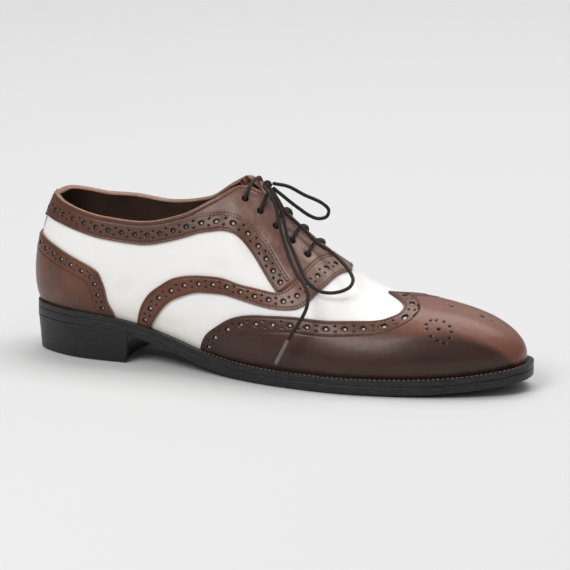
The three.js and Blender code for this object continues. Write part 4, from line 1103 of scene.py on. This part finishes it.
def collarFacing(name, node, side):
    # One side's collar and facing on ribs from its lower edge to the topline and the slit
    curves = ribCurves(collarLook["ribs"])
    ribs = evenRibs(curves, 0.0, collarLook["edgeStep"])
    cross = np.linspace(0, 1, collarLook["crossSteps"] + 1)
    station, height = onRibs(curves, ribs[:, None], cross[None])
    forward, down = np.array(collarLook["tucks"]).T
    station = np.concatenate([station, station[-1] + forward[:, None] / lastLength])
    height = np.concatenate([height, np.repeat(height[-1:], len(forward), 0)])
    tuck = np.concatenate([np.zeros(len(ribs)), down])[:, None]
    side = np.full(station.shape, float(side))
    places = lastPoint(station, height, side)
    low = edgePath(station[:, 0], height[:, 0], side[:, 0])
    high = edgePath(station[:, -1], height[:, -1], side[:, -1])
    arc, distance = nearestOnPath(places, low)
    _, fromTop = nearestOnPath(places, high)
    total = pathLengths(low)[-1]
    row = dict(collarLook["row"], start=collarLook["rowStart"], end=total - collarLook["rowEnd"])
    big, small = punchedRow(arc, distance, row)
    eyelet = eyeletDistance(places, side[0, 0])
    rise = punchRelief(big, small) + edgeRounding(distance)
    rise += lineGroove(distance, collarLook["edgeLine"]) \
        + lineGroove(fromTop, collarLook["topLine"], collarLook["topDepth"])
    onFacing = smoothStep(station, *collarLook["facingStations"])
    for line in collarLook["facingLines"]:
        rise += onFacing * lineGroove(distance, line)
    rise += foldRelief(places, facingFolds, side[0, 0])
    rise -= collarLook["eyeletDepth"] * smoothStep(eyelet, *collarLook["eyeletEdge"])
    rise -= collarLook["dishDepth"] * np.exp(-(np.maximum(eyelet, 0) / collarLook["dishReach"]) ** 2)
    rise = rise + tuck
    # Painted sheen on the front of the facing, growing away from its punched lower edge
    sheenShare = smoothStep(station, *collarLook["sheenStations"]) * smoothStep(distance, *collarLook["sheenFade"])
    backing, moreBacking = collarLook["backing"]
    # The eyelets read as small holes, so they are painted dark as shade
    fields = panelFields(
        big, np.minimum(small, eyelet), distance, haze=collarLook["haze"] * sheenShare,
        burnish=collarLook["burnish"] * (1 - smoothStep(station, *collarLook["burnishStations"])),
        backing=backing + moreBacking * smoothStep(station, *collarLook["backingStations"]))
    points, quads, fields = panelPart(station, height, side, rise, fields, ((2, 2), (2, 2)))
    piece = makePiece(name + "Leather", points, quads, brownLeather, fields)
    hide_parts(node)
    surface, normals = offLast(station, height, side, 0.0 * station)
    lines = [lineBeside(low[::3], collarLook["edgeLine"], surface, normals),
             lineBeside(high[::3], collarLook["topLine"], surface, normals)]
    facingLow = low[int(len(low) * collarLook["facingLineFrom"])::3]
    lines += [lineBeside(facingLow, line, surface, normals) for line in collarLook["facingLines"]]
    stitchPiece(name + "Stitches", lines, brownThread, stitchLook)


# Side band: one strip from the sole on the lateral side, under the slit, to the sole on the medial side
bandLook = {
    "ribs": [
        [0.283, 0, 0.258, 0, 0, 0], [0.3, 0.19, 0.267, 0.21, 0, 0], [0.321, 0.335, 0.283, 0.378, 0, 0],
        [0.346, 0.4, 0.304, 0.474, 0, 0], [0.375, 0.425, 0.335, 0.545, 0, 0],
        [0.408, 0.404, 0.383, 0.527, 0, 0], [0.45, 0.373, 0.425, 0.471, 0, 0],
        [0.492, 0.363, 0.467, 0.437, 0, 0], [0.533, 0.386, 0.508, 0.452, 0, 0],
        [0.567, 0.43, 0.536, 0.481, 0, 0], [0.588, 0.5, 0.554, 0.54, 0, 0], [0.604, 0.61, 0.568, 0.63, 0, 0],
        [0.617, 0.735, 0.58, 0.75, 0, 0], [0.627, 0.87, 0.59, 0.88, 0, 0], [0.638, 1, 0.6, 1, 0, 0]],
    "edgeStep": 0.45, "crossSteps": 30, "edgeLine": 1.3,
    "row": {"pitch": 8.8, "centre": 0.0, "bigRadius": 1.45, "smallRadius": 0.6, "spread": 1.75,
            "lean": 0.25},
    "warmth": 0.2, "haze": 0.8, "sheenStations": (0.5, 0.57), "backing": 0.85,
}


def sideBand():
    # Ribs across the band, with the punched row along its middle
    curves = ribCurves(bandLook["ribs"])
    ribs = evenRibs(curves, 0.5, bandLook["edgeStep"])
    cross = np.linspace(0, 1, bandLook["crossSteps"] + 1)
    grid = mirroredGrid(*onRibs(curves, ribs[:, None], cross[None]))
    places = lastPoint(*grid)
    edges = [edgePath(*(part[:, column] for part in grid)) for column in (0, -1)]
    middleColumn = bandLook["crossSteps"] // 2
    middle = edgePath(*(part[:, middleColumn] for part in grid))
    arc, fromMiddle = nearestOnPath(places, middle)
    towardsUpper = np.sign(np.arange(len(cross)) - middleColumn)[None] * fromMiddle
    distance = np.minimum(*(nearestOnPath(places, edge)[1] for edge in edges))
    half = pathLengths(middle)[-1] / 2
    margin = bandLook["row"]["pitch"] / 2
    row = dict(bandLook["row"], start=margin, end=half - margin)
    big, small = punchedRow(np.abs(arc - half), towardsUpper, row)
    rise = punchRelief(big, small) + edgeRounding(distance)
    rise += lineGroove(distance, bandLook["edgeLine"])
    # Painted sheen on the band's front part, near the slit
    fields = panelFields(big, small, distance, warm=bandLook["warmth"], backing=bandLook["backing"],
                         haze=bandLook["haze"] * smoothStep(grid[0], *bandLook["sheenStations"]))
    points, quads, fields = panelPart(*grid, rise, fields, ((0, 0), (2, 2)))
    piece = makePiece("sideBandLeather", points, quads, brownLeather, fields)
    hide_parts("side_band")
    surface, normals = offLast(*grid, 0.0 * grid[0])
    lines = [lineBeside(edge[::3], bandLook["edgeLine"], surface, normals) for edge in edges]
    stitchPiece("sideBandStitches", lines, brownThread, stitchLook)


# Back strip over the collar's seam: reach is in stations to each side, low is its lower end's height
stripLook = {
    "reach": 0.0048, "low": 0.668, "acrossSteps": 16, "heightSteps": 59, "rise": 1.1, "roundOff": 0.9,
    "halfWidth": 2.5, "heightToMm": 60, "burnish": 0.9,
}


def backStrip():
    # rise - roundOff |across|^4 over the seam, so the long edges are rounded down
    across = np.linspace(-1, 1, stripLook["acrossSteps"] + 1)
    heights = np.linspace(stripLook["low"], 1, stripLook["heightSteps"] + 1)
    station = np.abs(across)[:, None] * stripLook["reach"] + 0 * heights[None]
    height = heights[None] + 0 * station
    side = np.where(across < 0, -1.0, 1.0)[:, None] + 0 * height
    rise = stripLook["rise"] - stripLook["roundOff"] * np.abs(across)[:, None] ** 4 + 0 * height
    distance = np.minimum((1 - np.abs(across))[:, None] * stripLook["halfWidth"],
                          (height - stripLook["low"]) * stripLook["heightToMm"])
    noHole = farFromHoles + 0 * height
    # The whole strip is darkened nearly to the darkest brown: painted shade on top of its dark leather
    fields = panelFields(noHole, noHole, distance, burnish=stripLook["burnish"])
    points, quads, fields = panelPart(station, height, side, rise, fields, ((2, 2), (2, 0)))
    piece = makePiece("backStripLeather", points, quads, inkedLeather, fields)
    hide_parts("back_strip")


counter()
collarFacing("collarFacingLateral", "collar_facing_lateral", -1)
collarFacing("collarFacingMedial", "collar_facing_medial", 1)
sideBand()
backStrip()
print("collar, band and counter made")

# White shell under the panels, its lining and the rolled edge round the collar and the slit
upperLook = {
    "stationSteps": 260, "heightSteps": 76, "beadReach": 1.95, "beadRise": 0.85,
    "slitBeadRise": 0.35, "beadLine": 1.85, "slitStations": (0.43, 0.48), "beadSteps": 419, "beadSides": 20,
    "backSeam": 0.25, "seamReach": 0.5, "seamStations": 0.02, "eyeletDip": 1.7, "soleShade": 0.5,
    "creamHeights": (0.02, 0.34), "creamStations": (0.5, 0.3),
}
# Creases of the white leather: from and to (station, height), depth in mm and reach in mm
vampFolds = [
    [0.625, 0.9, 0.69, 0.7, 0.16, 3.0], [0.64, 0.78, 0.7, 0.62, 0.2, 3.2],
    [0.6, 0.42, 0.66, 0.47, 0.18, 3.5], [0.3, 0.12, 0.36, 0.2, 0.25, 5.0],
    [0.22, 0.3, 0.25, 0.5, 0.3, 6.0], [0.4, 0.6, 0.44, 0.5, 0.3, 5.0],
]


def shellStations():
    # Even stations, with one of them just at the slit's front end
    throat = shoeSizes["throatStation"]
    behind = int(upperLook["stationSteps"] * throat)
    ahead = upperLook["stationSteps"] - behind
    return np.concatenate([np.linspace(0, throat, behind + 1), np.linspace(throat, 1, ahead + 1)[1:]])


def upperShell():
    # Outer face of the wall: last - overlay - gap, with creases, a back seam and dips under the eyelets
    stations = shellStations()
    heights = np.linspace(0, 1, upperLook["heightSteps"] + 1)
    parts = []
    for side in (-1.0, 1.0):
        station, height = np.broadcast_arrays(stations[:, None], heights[None])
        places = lastPoint(station, height, side)
        folds = foldRelief(places, vampFolds, side)
        rise = upperOuter + folds
        atBack = station < upperLook["seamStations"]
        seam = np.exp(-(places[..., 1] / upperLook["seamReach"]) ** 2)
        rise = rise - upperLook["backSeam"] * seam * atBack
        rise = rise - upperLook["eyeletDip"] * smoothStep(eyeletDistance(places, side), 0.9, 0.0)
        points, normals = offLast(station, height, np.full(station.shape, side), rise)
        # Painted shade: cream in the folds' troughs and low down near the sole towards the heel
        nearSole = 1 - smoothStep(height, *upperLook["creamHeights"])
        creaseAndSoleShade = np.clip(-folds, 0, 0.2) \
            + upperLook["soleShade"] * nearSole * smoothStep(station, *upperLook["creamStations"])
        quads = gridQuads(*points.shape[:2])
        flat = points.reshape(-1, 3)
        parts.append((flat, facedOut(flat, quads, normals.reshape(-1, 3)), {"creaseAndSoleShade": creaseAndSoleShade.ravel()}))
    points, quads, fields = joinParts(parts)
    piece = makePiece("whiteUpper", points, quads, whiteLeather, fields, weld=5e-6)
    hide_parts("upper")


def upperLining():
    # Inner face of the wall: last - overlay - gap - wall, looking inwards
    stations = shellStations()[::2]
    heights = np.linspace(0, 1, upperLook["heightSteps"] // 2 + 1)
    parts = []
    for side in (-1.0, 1.0):
        station, height = np.broadcast_arrays(stations[:, None], heights[None])
        rise = np.full(station.shape, upperOuter - shoeSizes["wall"])
        points, normals = offLast(station, height, np.full(station.shape, side), rise)
        quads = gridQuads(*points.shape[:2])
        flat = points.reshape(-1, 3)
        parts.append((flat, facedOut(flat, quads, -normals.reshape(-1, 3)), {}))
    points, quads, _ = joinParts(parts)
    piece = makePiece("upperLining", points, quads, liningLeather, weld=5e-6)


def toplineBead():
    # Rolled edge: top edge + n (a cos v - middle) + up b sin v, from the throat round the heel and back
    throat, steps = shoeSizes["throatStation"], upperLook["beadSteps"]
    around = np.concatenate([np.linspace(throat, 0, steps + 1), np.linspace(0, 1, steps + 1)[1:] * throat])
    side = np.repeat([-1.0, 1.0], [steps + 1, steps])
    edge = lastPoint(around, np.ones(len(around)), side)
    below = lastPoint(around, np.full(len(around), 0.97), side)
    upwards = unit(edge - below)
    normal = lastNormal(around, np.full(len(around), 0.985), side)
    turn = np.linspace(0, 2 * np.pi, upperLook["beadSides"], endpoint=False)
    slit = smoothStep(around, *upperLook["slitStations"])
    rise = upperLook["beadRise"] * (1 - slit) + upperLook["slitBeadRise"] * slit
    middle = -upperLook["beadLine"]
    high = np.where(np.sin(turn) > 0, np.sin(turn), 0.3 * np.sin(turn))
    inward = (middle + upperLook["beadReach"] * np.cos(turn))[None, :, None]
    lift = (rise[:, None] * high[None])[..., None]
    points = edge[:, None] + normal[:, None] * inward + upwards[:, None] * lift
    quads = gridQuads(len(around), upperLook["beadSides"], closed=True)
    flat = points.reshape(-1, 3)
    centre = (edge + normal * middle)[:, None]
    piece = makePiece("toplineEdge", flat, facedOut(flat, quads, (points - centre).reshape(-1, 3)), rawEdge)


upperShell()
upperLining()
toplineBead()
print("upper made")

# Sole: outsole, stitched welt, heel and the sock inside
soleLook = {
    "stations": 300, "acrossSteps": 8, "outsoleRound": 0.7, "weltRound": 0.35, "sockRound": 0.9,
    "stitchInset": 2.0, "leastInset": 0.9, "stitchStations": (0.3, 1), "stitchSteps": 1199, "hairGap": 0.02,
    "black": rgb(22, 22, 23), "blackWorn": rgb(42, 42, 43),
    "weltStitch": {"pitch": 2.8, "long": 1.9, "thick": 0.85, "rise": 0.1},
}
heelLook = {
    "layers": (0.2, 0.4, 0.6, 0.8), "layerDepth": 0.06, "layerReach": 0.012,
    "taper": 2.0, "taperPower": 0.8, "ease": 0.7, "easeTop": 0.035, "breastHollow": 5.0,
    "stations": 90, "acrossPoints": 17, "heightSteps": 46,
}


def soleMaterial(name, streaks):
    # Dyed and waxed edge: charcoal with faint streaks, brighter where it is worn
    material, tree, surface = startMaterial(name, Roughness=0.42, Coat_Weight=0.1, Coat_Roughness=0.3)
    surface.inputs["Specular IOR Level"].default_value = 0.3
    grainy = fade(tree, grain(tree, 160.0, 5.0, 0.65, streaks), 0.3, 0.75)
    base = blendColour(tree, grainy, soleLook["black"], soleLook["blackWorn"])
    tree.links.new(base, surface.inputs["Base Color"])
    tree.links.new(calculate(tree, "MULTIPLY_ADD", grainy, 0.14, 0.36), surface.inputs["Roughness"])
    tree.links.new(relief(tree, grainy, 0.00008), surface.inputs["Normal"])
    return material


def soleSlab(margin, bottom, top, rim, stations):
    # Loops across the sole: flat top, rim profile of (inset, share of height), flat bottom, rim profile
    shares = np.linspace(-1, 1, soleLook["acrossSteps"] + 1)
    count = len(shares)
    share = np.concatenate([shares, np.ones(len(rim)), shares[::-1], -np.ones(len(rim))])
    inset = np.concatenate([np.full(count, rim[0][0]), [r[0] for r in rim], np.full(count, rim[-1][0]),
                            [r[0] for r in rim[::-1]]])
    level = np.concatenate([np.ones(count), [r[1] for r in rim], np.zeros(count), [r[1] for r in rim[::-1]]])
    station, share = np.broadcast_arrays(stations[:, None], share[None])
    xLateral, yLateral, _, _ = footPoint(station, -1.0, margin(station) - inset)
    xMedial, yMedial, _, _ = footPoint(station, 1.0, margin(station) - inset)
    mix = (share + 1) / 2
    x = xLateral * (1 - mix) + xMedial * mix
    y = yLateral * (1 - mix) + yMedial * mix
    low, high = bottom(x), top(x)
    points = np.stack([x, y, low + (high - low) * level], -1)
    flat = points.reshape(-1, 3)
    outward = points - points.mean(1, keepdims=True)
    quads = gridQuads(*points.shape[:2], closed=True)
    return flat, facedOut(flat, quads, outward.reshape(-1, 3))


def roundedRim(radius, thickness, steps=5):
    # Quarter circles at the top and the bottom of a vertical side
    angle = np.linspace(0, np.pi / 2, steps + 1)[1:]
    topPart = [(radius * (1 - np.sin(a)), 1 - radius * (1 - np.cos(a)) / thickness) for a in angle]
    lowPart = [(inset, 1 - share) for inset, share in topPart[::-1]]
    return [(radius, 1.0)] + topPart + lowPart + [(radius, 0.0)]


def outsoleAndWelt():
    # Two slabs one on the other, and a line of stitches round the welt from arch to arch
    stations = np.linspace(0, 1, soleLook["stations"] + 1)
    thick, join = shoeSizes["outsole"], shoeSizes["meetingGap"] / 2
    points, quads = soleSlab(soleMargin, soleLift, lambda x: outsoleTop(x) + join,
                             roundedRim(soleLook["outsoleRound"], thick + join), stations)
    edge = soleMaterial("soleEdge", (1.0, 1.0, 5.0))
    outsole = makePiece("outsoleLeather", points, quads, edge, weld=2e-6)
    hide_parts("outsole")
    points, quads = soleSlab(soleMargin, lambda x: outsoleTop(x) + join,
                             lambda x: featherHeight(x) - soleLook["hairGap"],
                             roundedRim(soleLook["weltRound"], shoeSizes["welt"] + 0.4), stations)
    edge = soleMaterial("weltEdge", (1.0, 1.0, 3.0))
    welt = makePiece("weltLeather", points, quads, edge, weld=2e-6)
    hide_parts("welt")
    (arch, toe), steps = soleLook["stitchStations"], soleLook["stitchSteps"]
    station = np.concatenate([np.linspace(arch, toe, steps + 1), np.linspace(toe, arch, steps + 1)[1:]])
    side = np.repeat([-1.0, 1.0], [steps + 1, steps])
    margin = np.maximum(soleMargin(station) - soleLook["stitchInset"], soleLook["leastInset"])
    x, y, _, _ = footPoint(station, side, margin)
    line = np.stack([x, y, featherHeight(x)], -1)
    ups = np.broadcast_to([0.0, 0.0, 1.0], line.shape)
    greyThread = threadMaterial("weltThread", leatherLook["threadGrey"], leatherLook["threadDark"])
    stitchPiece("weltStitches", [(line, ups)], greyThread, soleLook["weltStitch"])


def heelBlock():
    # Stacked heel: the sole's outline to the breast line, tapering to the floor, with fine layer grooves
    look = heelLook
    across = look["acrossPoints"]
    stations = np.linspace(0, shoeSizes["breastStation"], look["stations"])
    shares = np.linspace(-1, 1, across)
    heights = np.linspace(1, 0, look["heightSteps"] + 1)
    groove = sum(look["layerDepth"] * np.exp(-((heights - layer) / look["layerReach"]) ** 2)
                 for layer in look["layers"])
    ease = look["ease"] * np.clip((look["easeTop"] - heights) / look["easeTop"], 0, 1) ** 2
    rimInset = look["taper"] * (1 - heights) ** look["taperPower"] + groove + ease
    share = np.concatenate([shares, np.ones(len(heights)), shares[::-1], -np.ones(len(heights))])
    inset = np.concatenate([np.zeros(across), rimInset, np.full(across, rimInset[-1]), rimInset[::-1]])
    level = np.concatenate([np.ones(across), heights, np.zeros(across), heights[::-1]])

    def place(station, share, inset, level):
        station, share, inset, level = np.broadcast_arrays(station, share, inset, level)
        # Between the two sides' outlines; the breast hollows back by (1 - share^2) reach^2
        xLateral, yLateral, _, _ = footPoint(station, -1.0, soleMargin(station) - inset)
        xMedial, yMedial, _, _ = footPoint(station, 1.0, soleMargin(station) - inset)
        mix = (share + 1) / 2
        reach = station / shoeSizes["breastStation"]
        x = xLateral * (1 - mix) + xMedial * mix - look["breastHollow"] * (1 - share ** 2) * reach ** 2
        x = x - inset * reach ** 8
        y = yLateral * (1 - mix) + yMedial * mix
        return np.stack([x, y, (soleLift(x) - soleLook["hairGap"]) * level], -1)

    body = place(stations[:, None], share[None], inset[None], level[None])
    breast = place(np.array(shoeSizes["breastStation"]), shares[None], rimInset[:, None], heights[:, None])
    flat = body.reshape(-1, 3)
    quads = facedOut(flat, gridQuads(*body.shape[:2], closed=True),
                     (body - body.mean((0, 1))).reshape(-1, 3) * [1, 1, 0.3])
    face = breast.reshape(-1, 3)
    faceQuads = facedOut(face, gridQuads(*breast.shape[:2]), np.broadcast_to([1.0, 0, 0], face.shape))
    points, quads, _ = joinParts([(flat, quads, {}), (face, faceQuads, {})])
    edge = soleMaterial("heelEdge", (1.0, 1.0, 8.0))
    heel = makePiece("heelStack", points, quads, edge, weld=2e-6)
    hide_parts("heel")


def sock():
    # The insole, a slab inside the upper's wall
    inset = shoeSizes["overlay"] + shoeSizes["overlayGap"] + shoeSizes["wall"] + 0.1
    points, quads = soleSlab(lambda station: -inset + 0 * station, featherHeight,
                             lambda x: featherHeight(x) + shoeSizes["insole"],
                             roundedRim(soleLook["sockRound"], shoeSizes["insole"]), np.linspace(0, 1, 121))
    piece = makePiece("insoleSock", points, quads, liningLeather, weld=2e-6)
    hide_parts("insole")


outsoleAndWelt()
heelBlock()
sock()
print("sole made")

# Tongue: rows across it, each (station, reach down both sides, crown); the raised tip is (rise, back, width)
tongueLook = {
    "rows": [[0.598, 0.24, 0], [0.57, 0.27, 0.12], [0.543, 0.28, 0.24], [0.515, 0.28, 0.35],
             [0.485, 0.25, 0.47], [0.462, 0.15, 0.94], [0.444, 0.03, 1.18]],
    "tip": [[2.1, 1.2, 0.66], [4.5, 3.5, 0.5]], "perSide": 4, "rowSteps": 90, "acrossSteps": 48,
    "burnish": 0.25,
}


def tongue():
    # Splines through the rows, first along the tongue and then across it, thinned towards its edges
    depth = -upperOuter + shoeSizes["wall"] + shoeSizes["tongueGap"]
    per = tongueLook["perSide"]
    shares = np.linspace(1, 0, per + 1)
    rows = []
    for station, reach, crown in tongueLook["rows"]:
        halves = [offLast(np.full(per + 1, station), 1 - reach * shares, np.full(per + 1, side),
                          np.full(per + 1, -depth))[0] for side in (-1.0, 1.0)]
        middle = (halves[0][-1] + halves[1][-1]) / 2 + [0, 0, crown]
        rows.append(np.concatenate([halves[0][:-1], middle[None], halves[1][-2::-1]]))
    last = rows[-1]
    for rise, back, share in tongueLook["tip"]:
        rows.append((last - last[per]) * share + last[per] + [-back, 0, rise])
    table = np.array(rows)
    rowKnots = np.linspace(0, 1, len(rows))
    acrossKnots = np.linspace(0, 1, 2 * per + 1)
    rowAt = np.linspace(0, 1, tongueLook["rowSteps"] + 1)
    acrossAt = np.linspace(0, 1, tongueLook["acrossSteps"] + 1)
    fine = np.stack([[smoothCurve(rowKnots, table[:, column, axis])(rowAt) for column in range(2 * per + 1)]
                     for axis in range(3)], -1)
    fine = np.stack([[smoothCurve(acrossKnots, fine[:, row, axis])(acrossAt) for row in range(len(rowAt))]
                     for axis in range(3)], -1)
    normal = unit(np.cross(np.gradient(fine, axis=0), np.gradient(fine, axis=1)))
    normal = normal * np.sign(normal[..., 2:].mean())
    ease = np.minimum(np.minimum(acrossAt, 1 - acrossAt)[None] * 40, (1 - rowAt)[:, None] * 60)
    thin = np.sqrt(np.clip(1 - (1 - np.clip(ease, 0, 1)) ** 2, 0.02, 1))[..., None] * shoeSizes["tongue"] / 2
    centre = fine - normal * shoeSizes["tongue"] / 2
    faces = [(centre + normal * thin, normal), (centre - normal * thin, -normal)]
    parts = []
    for face, outward in faces:
        flat = face.reshape(-1, 3)
        edge = ease.ravel() * 0.5
        noHole = farFromHoles + 0 * edge
        fields = panelFields(noHole, noHole, edge, burnish=tongueLook["burnish"])
        parts.append((flat, facedOut(flat, gridQuads(*face.shape[:2]), outward.reshape(-1, 3)), fields))
    points, quads, fields = joinParts(parts)
    piece = makePiece("tongueLeather", points, quads, brownLeather, fields, weld=1.2e-4)
    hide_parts("tongue")


# Lace bars: five places on each side, from inside the eyelet up to the slit, and their mm off the last
barLook = {"offsets": [-2.6, -0.6, 0.85, 1.0, 1.0], "wideSlit": 4.2, "steps": 64}


def laceBars():
    # Each bar climbs out of one eyelet, crosses the slit and goes down the other
    radius = laceLook["diameter"] / 2
    offsets = np.array(barLook["offsets"])
    count = len(offsets)
    for number, (station, height) in enumerate(eyeletRows, 1):
        heights = np.array([height - 0.012, height - 0.004, height + 0.03, (height + 1) / 2, 1.0])
        halves = [offLast(np.full(count, station), heights, np.full(count, side), offsets)[0]
                  for side in (-1.0, 1.0)]
        gap = np.linalg.norm(halves[0][-1] - halves[1][-1])
        middle = (halves[0][-1] + halves[1][-1]) / 2
        top = [halves[0][-1], halves[1][-1]] if gap > barLook["wideSlit"] else [middle]
        route = np.concatenate([halves[0][:-1], np.array(top), halves[1][-2::-1]])
        bar = tubePiece(f"laceBar{number}", roundedRoute(route, barLook["steps"]), radius, laceLook["sides"],
                        waxedLace, hint=(1.0, 0.0, 0.3))
        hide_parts(f"lace_bar_{number}")


tongue()
laceBars()
print("tongue and lace bars made")

# Studio: a pale floor, a wide soft light above, a faint one behind and a smaller one high in front
studioLook = {
    "floor": rgb(214, 214, 214), "floorHalf": 12.0, "floorDrop": 0.0002,
    "sky": (0.5, 0.5, 0.5, 1), "horizon": (0.18, 0.18, 0.18, 1),
    # place, aim, size and power
    "lights": {"overhead": ((0.1, 0.9, 2.1), (0.02, 0, 0.03), (2.4, 1.2), 34),
               "behind": ((0.5, 2.3, 1.2), (0.03, 0, 0.04), (2.4, 1.0), 3),
               "frontHigh": ((-0.45, -1.55, 1.5), (0, 0, 0.06), (1.1, 0.9), 22)},
}


def softLight(name, place, aim, size, power):
    # Rectangular lamp at a place, turned to what it aims at
    lamp = bpy.data.lights.new(name, "AREA")
    lamp.shape = "RECTANGLE"
    lamp.size, lamp.size_y = size
    lamp.energy = power
    light = bpy.data.objects.new(name, lamp)
    light.location = place
    light.rotation_euler = (Vector(aim) - Vector(place)).to_track_quat("-Z", "Y").to_euler()
    bpy.context.scene.collection.objects.link(light)


def studio():
    # The floor, a sky that brightens upwards, and the lamps
    floorMesh = bpy.data.meshes.new("floor")
    half = studioLook["floorHalf"]
    corners = [(-half, -half, 0), (half, -half, 0), (half, half, 0), (-half, half, 0)]
    floorMesh.from_pydata(corners, [], [(0, 1, 2, 3)])
    material, tree, surface = startMaterial("paleFloor", Roughness=0.9)
    surface.inputs["Base Color"].default_value = studioLook["floor"]
    surface.inputs["Specular IOR Level"].default_value = 0.1
    floorMesh.materials.append(material)
    floor = bpy.data.objects.new("floor", floorMesh)
    floor.location = (0, 0, -studioLook["floorDrop"])
    bpy.context.scene.collection.objects.link(floor)
    world = bpy.data.worlds.new("studio")
    bpy.context.scene.world = world
    world.use_nodes = True
    tree = world.node_tree
    background = tree.nodes["Background"]
    place = makeNode(tree, "ShaderNodeTexCoord").outputs["Generated"]
    height = makeNode(tree, "ShaderNodeSeparateXYZ", {0: place}).outputs[2]
    share = fade(tree, height, -0.05, 0.75)
    glow = blendColour(tree, share, studioLook["horizon"], studioLook["sky"])
    tree.links.new(glow, background.inputs["Color"])
    for name, settings in studioLook["lights"].items():
        softLight(name, *settings)
    scene = bpy.context.scene
    scene.view_settings.view_transform = "Standard"
    scene.view_settings.look = "None"


studio()
print("studio lit")
